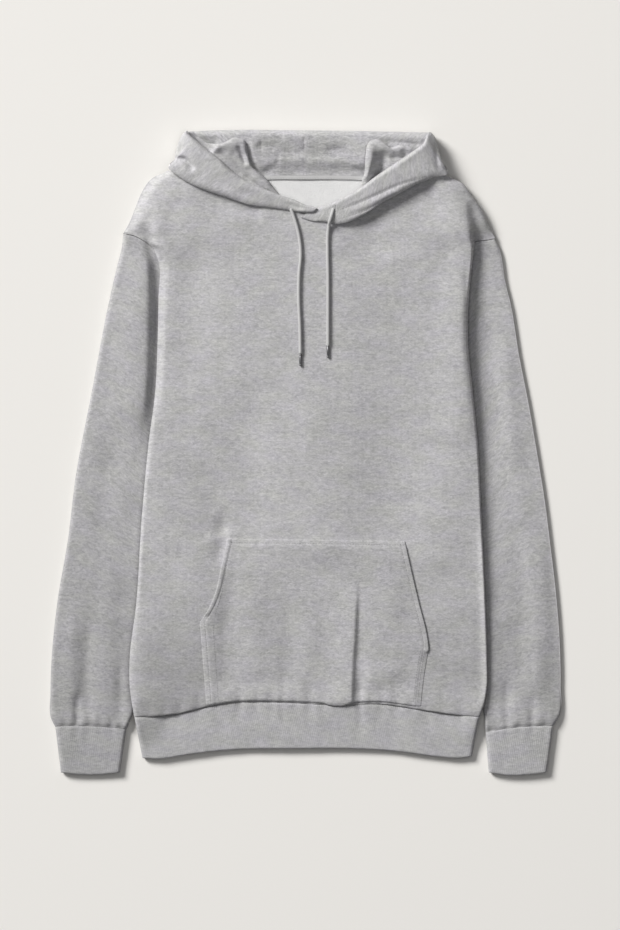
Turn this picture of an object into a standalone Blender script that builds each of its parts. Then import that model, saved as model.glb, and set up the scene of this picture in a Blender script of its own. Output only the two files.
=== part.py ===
"""Pullover hoodie with a kangaroo pocket, laid out flat on its back.

The garment lies on the plane z = 0 with its front up: +X is the wearer's left,
+Y runs from the hem to the hood and +Z is up. Every piece of cloth is a wall of
real thickness, built from rows of sections. Sizes in the tables are millimetres.
"""
import math

import bmesh
import bpy
import numpy as np
from mathutils.bvhtree import BVHTree

MM = 0.001

# Cloth
SEAM = 0.3              # gap between two pieces that are sewn together
FLEECE = 2.4            # wall of the body's brushed fleece
SLEEVE_WALL = 2.0
RIB = 3.0               # ribbed knit, folded double
HOOD_WALL = 3.0         # outer hood cloth with its hem
LINING = 2.0
TAPE = 1.2

# Heights
BODY_LOFT = 7.2         # both layers of the body where they lie flat
FOLD_LOFT = 8.8         # both layers at the rounded side folds
FOLD_ROUND = 4.6        # how far in from a side fold the cloth curls down
HEM_PUFF = 4.0          # how far the front stands up above the gathered hem
TUCK = 5.8              # a sleeve pressed flat under the body
TUCK_RIDE = 6.5         # how far the body is lifted where it lies on a sleeve
HOOD_STACK = 14.0       # hidden layers of the folded hood
HOOD_RIDE = 14.4        # how far they lift the neck of the body
SLEEVE_EDGE = 4.0       # height of a sleeve's outer fold above the surface
SLEEVE_INSIDE = 3.0     # and of its inner fold, under the body
SLEEVE_ROUND = 15.0     # how far in from its outer fold a sleeve reaches its crown
INSIDE_ROUND = 3.4      # and from its inner fold
RIB_LOFT = 8.0          # both layers of the hem band
CUFF_LOFT = 10.0
LINING_LOW = 19.4       # lining at the neck seam
LINING_DIP = 2.2        # how far it sinks behind the seam
LINING_RISE = 10.8      # and rises again to the top roll
LINING_END = 11.0       # height of its edge behind the roll
ROLL = 14.0             # how far in from its top edge the lining curls down
LINING_RIDGE = 3.0      # ridge along the edge of a fold of the lining
BAND_ROUND = 9.0        # how far in from the neck seam a hood panel rounds up
OPEN_ROUND = 5.0        # and from the opening's edge

# Cord
CORD = 4.4              # diameter of the drawstring
CORD_STEP = 2.4         # distance between its points, in diameters
TIP = 3.2               # diameter of its metal tips
TIP_LENGTH = 15.0

# Rows of a body panel, as shares of the way up: closer at the hem and through the armhole
SIDE_END = 0.80
ARMHOLE_END = 0.86
BODY_SHARES = np.array([0.0, 0.008, 0.02, 0.035, 0.06, 0.1, 0.17, 0.25, 0.33, 0.41, 0.49, 0.57,
                        0.64, 0.69, 0.735, 0.77, SIDE_END, 0.82, 0.84, ARMHOLE_END, 0.885,
                        0.915, 0.945, 0.975, 1.0])
# Columns of the body and the hem band: distances in from each side edge, and how many more
# between them
BODY_STEPS = FOLD_ROUND * np.array([0.0, 0.13, 0.5, 1.0, 3.0, 5.7, 8.5, 11.5, 15.0, 20.0])
BODY_MIDDLE = 4
CAP_REACH = 0.25        # share of the body's width over which a shoulder cap fades out
# The same of the sleeves and cuffs
SLEEVE_SHARES = np.array([0.0, 0.012, 0.03, 0.06, 0.12, 0.2175, 0.315, 0.4125, 0.51, 0.6075,
                          0.705, 0.8025, 0.9, 0.95, 1.0])
SLEEVE_STEPS = [0.0, 0.6, 2.2, 5.0]
SLEEVE_MIDDLE = 7
POCKET_SHARES = [0.0, 0.02, 0.05, 0.1, 0.18, 0.3, 0.4, 0.5, 0.55, 0.7, 0.85, 1.0]
FOLD_STEPS = [0.0, 0.35, 0.7, 0.88, 0.97, 1.0]
BAND_STEPS = [0.0, 0.04, 0.14, 0.3, 0.55, 0.78, 0.92, 0.98, 1.0]

# Side edge of the body: height up the garment, right edge, left edge, and the hidden
# inner edge of each sleeve below it.
BODY_ROWS = [
    # y, right, left, sleeve_right, sleeve_left
    (-331, -214, 217, -216, 223),
    (-315, -217, 223, -213, 221),
    (-291, -220, 227, -208, 217),
    (-258, -220, 227, -204, 214),
    (-191, -212, 225, -193, 206),
    (-84, -205, 220, -178, 193),
    (14, -196, 215, -160, 176),
    (76, -188, 209, -146, 164),
    (140, -185, 203, -134, 152),
    (191, -184, 204, -134, 148),
    (243, -185, 209, -140, 150),
]

# Armhole seam from the side fold out to the shoulder point
ARMHOLE_RIGHT = [(-191, 256), (-200, 263), (-214, 271), (-228, 274)]
ARMHOLE_LEFT = [(212, 264), (219, 265), (228, 266), (237, 268)]
# Shoulder line from there up to the hood
SHOULDER_RIGHT = [(-228, 274), (-222, 284), (-211, 311), (-205, 325), (-194, 341), (-172, 352)]
SHOULDER_LEFT = [(237, 268), (231, 281), (219, 306), (209, 320), (197, 336), (178, 345)]
# Neck seam of the front, under the hood's lower edge, and of the back
NECK_FRONT = [(-172, 352), (-155, 348), (-137, 338), (-96, 323), (-50, 311), (-24, 306),
              (-4, 298), (20, 293), (40, 290), (59, 296), (92, 316), (133, 339), (158, 347),
              (178, 345)]
NECK_BACK = [(-172, 352), (-120, 344), (-50, 341), (0, 340), (50, 341), (120, 343), (178, 345)]
# Seam between body and hem band, and the band's lower edge
HEM_SEAM = [(-214, -331), (-190, -330), (-157, -326), (-124, -318), (-90, -313), (-30, -313),
            (39, -316), (98, -315), (140, -321), (180, -327), (217, -331)]
HEM_EDGE = [(-204, -382), (-185, -383), (-150, -378), (-111, -373), (0, -370), (50, -370),
            (110, -373), (165, -380), (192, -382), (208, -380)]

# Sleeves: outer fold from the shoulder point to the cuff, and the seam at the cuff
SLEEVE_OUT_RIGHT = [(-228, 273), (-229, 262), (-237, 228), (-246, 188), (-267, 78), (-288, -34),
                    (-297, -108), (-310, -185), (-317, -250), (-319, -300), (-318, -333),
                    (-313, -343)]
SLEEVE_OUT_LEFT = [(237, 267), (242, 255), (250, 212), (256, 188), (267, 122), (278, 66),
                   (289, 3), (299, -59), (307, -122), (314, -184), (318, -240), (319, -290),
                   (317, -330), (310, -342)]
ARM_TUCK_RIGHT = [(-187, 240), (-178, 224), (-162, 211), (-140, 205)]
ARM_TUCK_LEFT = [(213, 250), (205, 232), (183, 214), (156, 206)]
CUFF_SEAM_RIGHT = [(-313, -343), (-290, -342), (-255, -343), (-224, -346)]
CUFF_SEAM_LEFT = [(310, -342), (290, -342), (256, -345), (225, -350)]
CUFF_EDGE_RIGHT = [(-306, -400), (-290, -402), (-250, -402), (-232, -400)]
CUFF_EDGE_LEFT = [(302, -400), (285, -402), (248, -403), (229, -400)]

INSIDE_START = -327.0   # where the straight part of a sleeve's inner edge starts
INSIDE_END = 195.0      # and ends

# Crown of a sleeve along its length: share of the way down, height
SLEEVE_CROWN = [(0.0, 9.5), (0.12, 12.0), (0.5, 12.5), (0.85, 13.5), (0.96, 13.0), (1.0, 10.0)]

# Kangaroo pocket: sides from the hem seam up, with the hand openings above y = -208
POCKET_RIGHT = [(-124, -317), (-128, -263), (-132, -212)]
POCKET_HAND_RIGHT = [(-132, -212), (-121, -206), (-111, -173), (-105, -140), (-98, -108)]
POCKET_LEFT = [(144, -318), (148, -281), (154, -245)]
POCKET_HAND_LEFT = [(154, -245), (152, -230), (142, -189), (133, -151), (124, -111)]

# Folds of the pocket: start, end, height and half width, all running up from the hem
POCKET_FOLDS = [
    # x0, y0, x1, y1, height, half_width
    (40, -312, 48, -200, 4.5, 17),
    (-98, -312, -94, -210, 2.0, 14),
]

# Hood: stations along each side panel from the centre front up to the top corner. Low is the
# edge at the neck seam, open the edge of the hood's opening; crests are the heights just
# inside those edges.
HOOD_RIGHT = [
    # low_x, low_y, low_z, open_x, open_y, crest_low, crest_open
    (8, 299, 28.0, 11, 307, 30.8, 31.4),
    (-6, 300, 27.4, -2, 310, 30.4, 31.2),
    (-21, 302, 22.9, -15, 316, 27.0, 30.0),
    (-51, 306, 22.9, -34, 322, 27.5, 31.0),
    (-75, 310, 22.9, -54, 330, 28.5, 33.5),
    (-98, 318, 22.9, -75, 340, 29.0, 35.5),
    (-122, 326, 22.9, -92, 352, 29.5, 37.0),
    (-142, 334, 22.9, -108, 367, 29.5, 38.0),
    (-158, 344, 24.4, -125, 380, 29.0, 38.5),
    (-171, 355, 22.0, -136, 389, 27.0, 38.0),
    (-164, 364, 8.0, -142, 394, 25.0, 36.0),
    (-162, 377, 6.0, -146, 398, 24.0, 34.5),
    (-156, 395, 8.0, -148, 402, 20.0, 31.0),
]
HOOD_LEFT = [
    (-6, 293, 22.9, 6, 302, 25.5, 26.0),
    (8, 289, 22.9, 20, 307, 26.5, 27.5),
    (24, 288, 22.9, 34, 312, 27.5, 30.0),
    (42, 285, 22.9, 54, 322, 27.5, 32.0),
    (60, 290, 22.9, 72, 333, 28.0, 34.0),
    (80, 301, 22.9, 85, 343, 28.5, 35.5),
    (96, 312, 22.9, 101, 354, 29.0, 37.0),
    (115, 322, 22.9, 116, 364, 29.5, 38.0),
    (137, 334, 22.9, 134, 376, 29.5, 38.5),
    (158, 342, 24.8, 146, 385, 29.0, 38.0),
    (177, 347, 23.4, 151, 392, 28.0, 37.0),
    (176, 358, 8.0, 153, 395, 26.0, 35.5),
    (168, 379, 6.0, 156, 397, 23.0, 34.0),
    (163, 391, 8.0, 159, 399, 19.0, 31.0),
]
HOOD_TOP = [(-150, 401), (-100, 403), (0, 402.5), (100, 401), (157, 398)]
# Lower edge of the lining: along the neck seam, then out of sight under the side panels
LINING_LOW_RIGHT = [(-141, 385), (-126, 373), (-108, 359), (-90, 347), (-70, 345),
                    (-40, 346), (-2.15, 346)]
LINING_LOW_LEFT = [(-1.85, 346), (40, 346), (70, 345), (88, 343), (104, 348), (118, 358),
                   (134, 370), (147, 382)]
# Folds of the lining: the edge that shows, and the edge under the side panel
LINING_FOLD_RIGHT = [(-123, 386), (-105, 386), (-88, 393), (-77, 390), (-72, 374),
                     (-67, 359), (-51, 344), (-33, 322)]
LINING_TUCK_RIGHT = [(-131, 378), (-113, 362), (-96, 347), (-78, 334), (-56, 324), (-38, 317)]
LINING_FOLD_LEFT = [(128, 382), (118, 384), (106, 380), (96, 387), (86, 391), (78, 389),
                    (75, 374), (74, 360), (73, 348), (69, 335)]
LINING_TUCK_LEFT = [(139, 373), (120, 358), (105, 347), (90, 336), (77, 328)]
# Outline of the hidden stack, anticlockwise
HOOD_OUTLINE = [(-141, 393), (-151, 378), (-155, 357), (-149, 330), (-132, 285), (-112, 256),
                (0, 250), (116, 256), (137, 285), (154, 328), (159, 352), (157, 376),
                (148, 388), (100, 393), (0, 396), (-100, 396)]

# Drawstrings, from where they leave the hood to their tips
STRING_RIGHT = [(-16, 298.5), (-14, 293), (-9, 274), (-6, 247), (-8, 224), (-8.5, 190),
                (-7, 157), (-6.5, 123)]
STRING_LEFT = [(35, 305), (33, 298), (30, 288), (28, 276), (27.5, 250), (28, 224), (28, 173),
               (28, 133)]


def ease(t):
    """Smooth step from 0 to 1."""
    t = np.clip(t, 0.0, 1.0)
    return t * t * (3.0 - 2.0 * t)


def dome(t):
    """Quarter circle from 0 to 1: upright at its start, level at its end."""
    t = np.clip(t, 0.0, 1.0)
    return np.sqrt(1.0 - (1.0 - t) ** 2)


def through(at, knots):
    """Smooth function through knots, one row of values for each place in at."""
    slopes = np.gradient(knots, at, axis=0)

    def read(t):
        t = np.clip(np.asarray(t, float), at[0], at[-1])
        k = np.clip(np.searchsorted(at, t, side="right") - 1, 0, len(at) - 2)
        span = (at[k + 1] - at[k])[..., None]
        f = (t - at[k])[..., None] / span
        start = (1 + 2 * f) * (1 - f) ** 2 * knots[k] + f * (1 - f) ** 2 * span * slopes[k]
        end = f * f * (3 - 2 * f) * knots[k + 1] + f * f * (f - 1) * span * slopes[k + 1]
        return start + end

    return read


def path(points):
    """Smooth curve through points, run by its length from 0 to 1."""
    knots = np.asarray(points, float)
    steps = np.linalg.norm(np.diff(knots, axis=0), axis=1)
    at = np.concatenate([[0.0], np.cumsum(steps)]) / steps.sum()
    curve = through(at, knots)
    return lambda t: curve(np.atleast_1d(t))


def chain(*runs):
    """Join curves end to end; each run is a curve and the share where it ends."""
    def curve(t):
        t = np.atleast_1d(np.asarray(t, float))
        out = np.zeros(t.shape + (2,))
        begin = 0.0
        for run, end in runs:
            here = (t >= begin) & (t <= end)
            out[here] = run((t[here] - begin) / (end - begin))
            begin = end
        return out

    return curve


def column(rows, key, value):
    """Read one column of a table as a smooth function of another."""
    table = np.asarray(rows, float)
    read = through(table[:, key], table[:, value:value + 1])
    return lambda t: read(t)[..., 0]


def patch(low, high, left, right):
    """Fill four edge curves with a grid of places, u from left to right and v upwards."""
    def place(u, v):
        u, v = np.broadcast_arrays(np.asarray(u, float), np.asarray(v, float))
        across, up = u[..., None], v[..., None]
        edges = (1 - up) * low(u) + up * high(u) + (1 - across) * left(v) + across * right(v)
        corners = ((1 - across) * (1 - up) * low(0) + across * (1 - up) * low(1)
                   + (1 - across) * up * high(0) + across * up * high(1))
        return edges - corners

    return place


def lay_out(place, shares, edge_steps, middle):
    """Rows of places across a patch, closer together near both side edges.

    Returns the places and their distances from the left and the right edge.
    """
    rows, from_left, from_right = [], [], []
    for v in shares:
        ends = place(np.array([0.0, 1.0]), np.array([v, v]))
        width = np.linalg.norm(ends[1] - ends[0])
        near = np.array(edge_steps) / width
        between = np.linspace(near[-1], 1.0 - near[-1], middle + 2)[1:-1]
        u = np.concatenate([near, between, 1.0 - near[::-1]])
        rows.append(place(u, np.full_like(u, v)))
        from_left.append(u * width)
        from_right.append((1.0 - u) * width)
    return np.array(rows), np.array(from_left), np.array(from_right)


def lift(places, heights):
    """Join places in plan with their heights."""
    return np.concatenate([places, heights[..., None]], axis=2)


def wall_offset(outer, wall, side, turn, ring=False):
    """The inner face of a wall: each section's points moved square to the section.

    side is 1 where the outer face looks up and -1 where it looks down. turn says for each
    row how far its two ends have curled over, 0 for level and 1 for upright.
    """
    if ring:
        middle = outer.shape[1] // 2
        chord = outer[:, middle] - outer[:, 0]
        tangent = np.roll(outer, -1, axis=1) - np.roll(outer, 1, axis=1)
    else:
        chord = outer[:, -1] - outer[:, 0]
        tangent = np.gradient(outer, axis=1)
    chord[:, 2] = 0.0
    chord /= np.linalg.norm(chord, axis=1)[:, None]
    chord = np.repeat(chord[:, None, :], outer.shape[1], axis=1)
    along = (tangent * chord).sum(axis=2)
    rise = tangent[..., 2]
    if not ring:
        turn = np.asarray(turn, float)
        along[:, 0] = along[:, -1] = 1.0 - turn
        rise[:, 0] = side * turn
        rise[:, -1] = -side * turn
    size = np.hypot(along, rise)
    normal = -(rise / size)[..., None] * chord
    normal[..., 2] += along / size
    return outer - side * wall * normal


def material(name, colour, roughness, metallic=0.0):
    """Plain surface of one colour."""
    made = bpy.data.materials.new(name)
    made.use_nodes = True
    shader = made.node_tree.nodes["Principled BSDF"]
    shader.inputs["Base Color"].default_value = (*colour, 1.0)
    shader.inputs["Roughness"].default_value = roughness
    shader.inputs["Metallic"].default_value = metallic
    return made


def add_mesh(name, points, faces, surface):
    """Make one closed, smooth-shaded object from millimetre points."""
    mesh = bpy.data.meshes.new(name)
    mesh.from_pydata([tuple(p) for p in np.asarray(points) * MM], [], faces)
    solid = bmesh.new()
    solid.from_mesh(mesh)
    if solid.calc_volume(signed=True) < 0.0:
        bmesh.ops.reverse_faces(solid, faces=solid.faces)
    solid.to_mesh(mesh)
    solid.free()
    mesh.shade_smooth()
    mesh.set_sharp_from_angle(angle=math.radians(50))
    mesh.materials.append(surface)
    made = bpy.data.objects.new(name, mesh)
    bpy.context.collection.objects.link(made)
    return made


def grid_faces(rows, count, start, ring, flip):
    """Quads of a grid whose points run row by row from an index."""
    faces = []
    across = count if ring else count - 1
    for row in range(rows - 1):
        for k in range(across):
            here = start + row * count + k
            beside = start + row * count + (k + 1) % count
            quad = (here, beside, beside + count, here + count)
            faces.append(quad[::-1] if flip else quad)
    return faces


def add_wall(name, outer, inner, surface, side=1, ring=False):
    """Close an outer and an inner face into one wall of cloth."""
    rows, count = outer.shape[:2]
    size = rows * count
    down = side < 0
    faces = grid_faces(rows, count, 0, ring, down)
    faces += grid_faces(rows, count, size, ring, not down)
    if ring:
        rim = [[row * count + k for k in range(count)] + [row * count] for row in (0, rows - 1)]
        rim[1].reverse()
    else:
        first = list(range(count))
        right = [row * count + count - 1 for row in range(1, rows)]
        last = [(rows - 1) * count + k for k in range(count - 2, -1, -1)]
        left = [row * count for row in range(rows - 2, -1, -1)]
        rim = [first + right + last + left]
    for loop in rim:
        for a, b in zip(loop, loop[1:]):
            quad = (b, a, a + size, b + size)
            faces.append(quad[::-1] if down else quad)
    points = np.concatenate([outer.reshape(-1, 3), inner.reshape(-1, 3)])
    return add_mesh(name, points, faces, surface)


right_edge = column(BODY_ROWS, 0, 1)
left_edge = column(BODY_ROWS, 0, 2)
right_sleeve = column(BODY_ROWS, 0, 3)
left_sleeve = column(BODY_ROWS, 0, 4)
right_outline = column([row[:2] for row in BODY_ROWS] + [(y, x) for x, y in SHOULDER_RIGHT],
                       0, 1)
left_outline = column([(row[0], row[2]) for row in BODY_ROWS]
                      + [(y, x) for x, y in SHOULDER_LEFT], 0, 1)
hem_line = column(HEM_SEAM, 0, 1)


def back_under(x, y):
    """Underside of the back: on the surface, on the sleeves' inner edges, on the hood."""
    hood = HOOD_RIDE * ease((y - 160.0) / 78.0) * ease((206.0 - np.abs(x - 3.0)) / 46.0)
    over_right = ease((right_sleeve(y) + 46.0 - x) / 40.0)
    over_left = ease((x - left_sleeve(y) + 46.0) / 40.0)
    beside_arms = ease((264.0 - y) / 28.0) * ease((y + 374.0) / 42.0)
    return np.maximum(hood, TUCK_RIDE * beside_arms * np.maximum(over_right, over_left))


def pocket_folds(x, y):
    """Largest folds of the pocket, as soft ridges."""
    total = np.zeros_like(x)
    for x0, y0, x1, y1, height, half_width in POCKET_FOLDS:
        run = (y - y0) / (y1 - y0)
        across = (x - x0 - (x1 - x0) * run) / half_width
        fade = ease((y - y0 + 6.0) / 10.0) * ease((y1 - y) / (0.6 * (y1 - y0)))
        total += height * fade * np.exp(-across * across)
    return total


def front_top(x, y):
    """Outer face of the front, before its side edges curl down."""
    middle = (left_outline(y) + right_outline(y)) / 2.0
    half = (left_outline(y) - right_outline(y)) / 2.0
    side = ease((np.abs(x - middle) / half - 0.74) / 0.2)
    above_hem = y - hem_line(x)
    puff = HEM_PUFF * ease(above_hem / 10.0) * (1.0 - ease((above_hem - 14.0) / 50.0))
    loft = BODY_LOFT + (FOLD_LOFT - BODY_LOFT) * side + puff
    return back_under(x, y) + loft


def seam_height(x, y):
    """Height of the side seam, halfway down the rounded side fold."""
    return back_under(x, y) + FOLD_LOFT / 2.0


def side_curves(edge, armhole, shoulder):
    """One side of a body panel, without and with the cap of the shoulder."""
    side = path([(edge(row[0]), row[0]) for row in BODY_ROWS] + [armhole[0]])
    plain = chain((side, SIDE_END), (path([armhole[0], shoulder[-1]]), 1.0))
    whole = chain((side, SIDE_END), (path(armhole), ARMHOLE_END), (path(shoulder), 1.0))
    return plain, whole


def body_patch(neck):
    """Plan of a body panel, its shoulder caps drawn out of a plainer patch."""
    right_plain, right_whole = side_curves(right_edge, ARMHOLE_RIGHT, SHOULDER_RIGHT)
    left_plain, left_whole = side_curves(left_edge, ARMHOLE_LEFT, SHOULDER_LEFT)
    plain = patch(path(HEM_SEAM), path(neck), right_plain, left_plain)

    def place(u, v):
        right_cap = np.clip(1.0 - u / CAP_REACH, 0.0, 1.0)[..., None] ** 2
        left_cap = np.clip(1.0 - (1.0 - u) / CAP_REACH, 0.0, 1.0)[..., None] ** 2
        return (plain(u, v) + right_cap * (right_whole(v) - right_plain(v))
                + left_cap * (left_whole(v) - left_plain(v)))

    return place


def body_curl(shares):
    """How far the side edges curl over: not along the armhole, where a sleeve joins on."""
    away = np.minimum(np.abs(shares - SIDE_END), np.abs(shares - ARMHOLE_END))
    within = (shares >= SIDE_END) & (shares <= ARMHOLE_END)
    return np.where(within, 0.0, ease(away / 0.03))


def body_panel(name, neck, side, surface):
    """Front (side 1) or back (side -1) of the body."""
    curl = body_curl(BODY_SHARES)
    places, from_left, from_right = lay_out(body_patch(neck), BODY_SHARES, BODY_STEPS,
                                            BODY_MIDDLE)
    x, y = places[..., 0], places[..., 1]
    flat = front_top(x, y) if side > 0 else back_under(x, y)
    seam = seam_height(x, y) + side * SEAM / 2.0
    round_off = 1.0 - dome(np.minimum(from_left, from_right) / FOLD_ROUND)
    outer = lift(places, flat + curl[:, None] * round_off * (seam - flat))
    inner = wall_offset(outer, FLEECE, side, np.round(curl))
    return add_wall(name, outer, inner, surface, side)


def tube(name, place, shares, columns, tops, wall, surface):
    """Flattened tube of cloth: tops gives the upper and the lower face."""
    places, from_out, from_in = lay_out(place, shares, *columns)
    upper, lower = tops(places, from_out, from_in)
    ring_places = np.concatenate([places, places[:, -2:0:-1]], axis=1)
    ring_heights = np.concatenate([upper, lower[:, -2:0:-1]], axis=1)
    outer = lift(ring_places, ring_heights)
    inner = wall_offset(outer, wall, 1, None, ring=True)
    return add_wall(name, outer, inner, surface, 1, ring=True)


def sleeve(name, out, armhole, tuck, cuff, edge, mirror, surface):
    """Sleeve from the armhole seam to the cuff, its inner part flat under the body."""
    inner_column = 3 if mirror < 0 else 4
    inner = [(row[inner_column], max(row[0], INSIDE_START)) for row in BODY_ROWS
             if row[0] < INSIDE_END]
    inner = [cuff[-1]] + inner + [tuck[-1]]
    top = [(x, y - 2.0 * SEAM) for x, y in armhole[::-1]] + tuck
    low, high = path(cuff), path(top)
    outer = path([cuff[0]] + out[-2::-1])
    outer_down = patch(low, high, outer, path(inner))
    crown = column(SLEEVE_CROWN, 0, 1)

    def tops(places, from_out, from_in):
        x, y = places[..., 0], places[..., 1]
        beyond = mirror * (x - edge(y))
        height = crown(1.0 - SLEEVE_SHARES)[:, None]
        height = TUCK + (height - TUCK) * ease((beyond - 1.0) / 30.0)
        rim = SLEEVE_INSIDE + (SLEEVE_EDGE - SLEEVE_INSIDE) * ease(from_in / 30.0)
        inside = dome(from_in / INSIDE_ROUND)
        upper = rim + (height - rim) * dome(from_out / SLEEVE_ROUND) * inside
        lower = rim * (1.0 - dome(from_out / (1.25 * SLEEVE_EDGE)) * inside)
        return upper, lower

    columns = (SLEEVE_STEPS, SLEEVE_MIDDLE)
    return tube(name, outer_down, SLEEVE_SHARES, columns, tops, SLEEVE_WALL, surface)


def rib_tube(name, low, high, loft, columns, base, surface):
    """Cuff or hem band: a flattened tube of rib with rounded side folds."""
    left = path([low[0], high[0]])
    right = path([low[-1], high[-1]])
    half = loft / 2.0

    def tops(places, from_out, from_in):
        near = half * dome(from_out / half) * dome(from_in / half)
        lowest = base(places[..., 0], places[..., 1])
        return lowest + half + near, lowest + half - near

    place = patch(path(low), path(high), left, right)
    return tube(name, place, np.array([0.0, 0.5, 1.0]), columns, tops, RIB, surface)


def pocket(rest, surface):
    """Kangaroo pocket, made from the front's own points moved out."""
    left = chain((path(POCKET_RIGHT), 0.5), (path(POCKET_HAND_RIGHT), 1.0))
    right = chain((path(POCKET_LEFT), 0.4), (path(POCKET_HAND_LEFT), 1.0))
    low = path([(x, hem_line(x) + 0.5) for x in (-124, -60, 0, 60, 144)])
    high = path([(-98, -108), (10, -109), (124, -111)])
    places = lay_out(patch(low, high, left, right), POCKET_SHARES, [0.0, 5.0], 17)[0]
    x, y = places[..., 0], places[..., 1]
    inside = np.maximum(y, hem_line(x) + 1.0)
    carried = np.array([rest(a, b, 0.0) for a, b in zip(x.flat, inside.flat)]).reshape(x.shape)
    bottom = carried + 3.0 * SEAM + pocket_folds(x, y)
    return add_wall("pocket", lift(places, bottom + LINING), lift(places, bottom), surface)


def lining_top(x, y):
    """Upper face of the hood's lining: out of the neck seam, over the top roll."""
    rise = LINING_RISE * ease((y - 364.0) / 24.0)
    return LINING_LOW - LINING_DIP * ease((y - 344.0) / 14.0) + rise


def lining(name, low, surface):
    """Side panel of the lining, from the neck seam over the top roll."""
    xs = np.linspace(low[0][0], low[-1][0], 11)
    neck, top = column(low, 0, 1), column(HOOD_TOP, 0, 1)
    places = np.array([[(x, y) for y in section_rows(neck(x), top(x))] for x in xs])
    x, y = places[..., 0], places[..., 1]
    beyond = dome((top(x) - y) / ROLL)
    heights = LINING_END + (lining_top(x, y) - LINING_END) * beyond
    outer = lift(places, heights)
    inner = wall_offset(outer, LINING, 1, np.zeros(len(xs)))
    inner[:, -1] = outer[:, -1] + np.array([0.0, -LINING, 0.0])
    return add_wall(name, outer, inner, surface, 1)


def section_rows(start, end):
    """Places along one section of the lining, closer over the roll."""
    roll = min(ROLL, 0.6 * (end - start))
    flat = list(np.linspace(start, end - roll, 6))
    return flat + [end - roll * share for share in (0.5, 0.13, 0.0)]


def lining_fold(name, shown, tucked, surface):
    """Fold of the lining lying on the lining, rounded at the edge that shows."""
    place = patch(path([tucked[0], shown[0]]), path([tucked[-1], shown[-1]]),
                  path(tucked), path(shown))
    shares = np.linspace(0.0, 1.0, 13)
    across = np.array(FOLD_STEPS)
    places = np.array([place(across, v) for v in shares])
    bump = LINING_RIDGE * np.sin(math.pi * np.clip((across - 0.4) / 0.65, 0.0, 1.0))
    ends = ease(shares / 0.12)[:, None] * ease((1.0 - shares) / 0.2)[:, None]
    bottom = lining_top(places[..., 0], places[..., 1]) + 4.0 * SEAM + bump * ends
    return add_wall(name, lift(places, bottom + LINING), lift(places, bottom), surface)


def hood_panel(name, stations, surface):
    """Outer side panel of the hood: a rounded band from the neck seam to the opening."""
    table = np.asarray(stations, float)
    steps = np.linspace(0.0, 1.0, len(table))
    shares = np.linspace(0.0, 1.0, 20)
    low_x, low_y, low_z, open_x, open_y, crest_low, crest_open = (
        np.interp(shares, steps, table[:, k]) for k in range(7))
    across = np.array(BAND_STEPS)
    x = low_x[:, None] + across * (open_x - low_x)[:, None]
    y = low_y[:, None] + across * (open_y - low_y)[:, None]
    width = np.hypot(open_x - low_x, open_y - low_y)[:, None]
    crest = crest_low[:, None] + across * (crest_open - crest_low)[:, None]
    inside = np.maximum(lining_top(open_x, open_y), LINING_LOW) + LINING + 8.0 * SEAM
    inside = np.minimum(inside, crest_open - 3.5)[:, None]
    rise = dome(across * width / np.minimum(BAND_ROUND, 0.4 * width))
    drop = dome((1.0 - across) * width / np.minimum(OPEN_ROUND, 0.3 * width))
    heights = low_z[:, None] + (crest - low_z[:, None]) * rise
    heights -= (crest - inside) * (1.0 - drop)
    outer = np.stack([x, y, heights], axis=2)
    wall = HOOD_WALL * np.clip(width / 30.0, 0.35, 1.0)[..., None]
    inner = wall_offset(outer, wall, 1, np.ones(len(shares)))
    return add_wall(name, outer, inner, surface)


def hood_back(surface):
    """Hidden layers of the hood as one rounded stack, grooved between two layers."""
    outline = path(HOOD_OUTLINE + HOOD_OUTLINE[:1])(np.linspace(0.0, 1.0, 41))[:-1]
    centre = np.array([2.0, 325.0])
    reach = np.linalg.norm(outline - centre, axis=1)[:, None]
    half = HOOD_STACK / 2.0
    # Height, share of the way out from the centre, and inset from there; the groove is at half
    rims = [(0.0, 1.0, 3.0), (1.0, 1.0, 0.6), (0.5 * half, 1.0, 0.0), (half - 0.8, 1.0, 0.9),
            (half, 1.0, 2.4), (half + 0.8, 1.0, 0.9), (1.5 * half, 1.0, 0.0),
            (HOOD_STACK - 1.4, 1.0, 1.5), (HOOD_STACK - 0.7, 1.0, 5.0),
            (HOOD_STACK, 0.9, 0.0), (HOOD_STACK, 0.7, 0.0), (HOOD_STACK, 0.4, 0.0)]
    rings = []
    for z, share, inset in rims:
        places = centre + (outline - centre) * (share - inset / reach)
        rings.append(np.column_stack([places, np.full(len(places), z)]))
    count = len(outline)
    points = np.concatenate(rings + [[(centre[0], centre[1], HOOD_STACK)]])
    faces = grid_faces(len(rings), count, 0, True, False)
    last = (len(rings) - 1) * count
    faces += [(last + k, last + (k + 1) % count, len(points) - 1) for k in range(count)]
    faces.append(tuple(range(count))[::-1])
    return add_mesh("hood_back", points, faces, surface)


def neck_tape(surface):
    """Tape over the back neck seam, on the inside of the back."""
    xs = np.linspace(-60.0, 70.0, 10)
    places = np.array([[(x, 338.0), (x, 341.5), (x, 344.6)] for x in xs])
    bottom = np.full(places.shape[:2], HOOD_RIDE + FLEECE + SEAM)
    return add_wall("neck_tape", lift(places, bottom + TAPE), lift(places, bottom), surface)


def highest(carriers):
    """Height of the topmost of some objects at a place, given with a reach around it."""
    trees = []
    for carrier in carriers:
        mesh = carrier.data
        corners = [vertex.co for vertex in mesh.vertices]
        trees.append(BVHTree.FromPolygons(corners, [face.vertices for face in mesh.polygons]))

    def rest(x, y, reach):
        hits = []
        for dx, dy in ((0, 0), (reach, 0), (-reach, 0), (0, reach), (0, -reach)):
            above = ((x + dx) * MM, (y + dy) * MM, 1.0)
            hits += [tree.ray_cast(above, (0.0, 0.0, -1.0))[0] for tree in trees]
        return max(hit.z for hit in hits if hit is not None) / MM

    return rest


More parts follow.
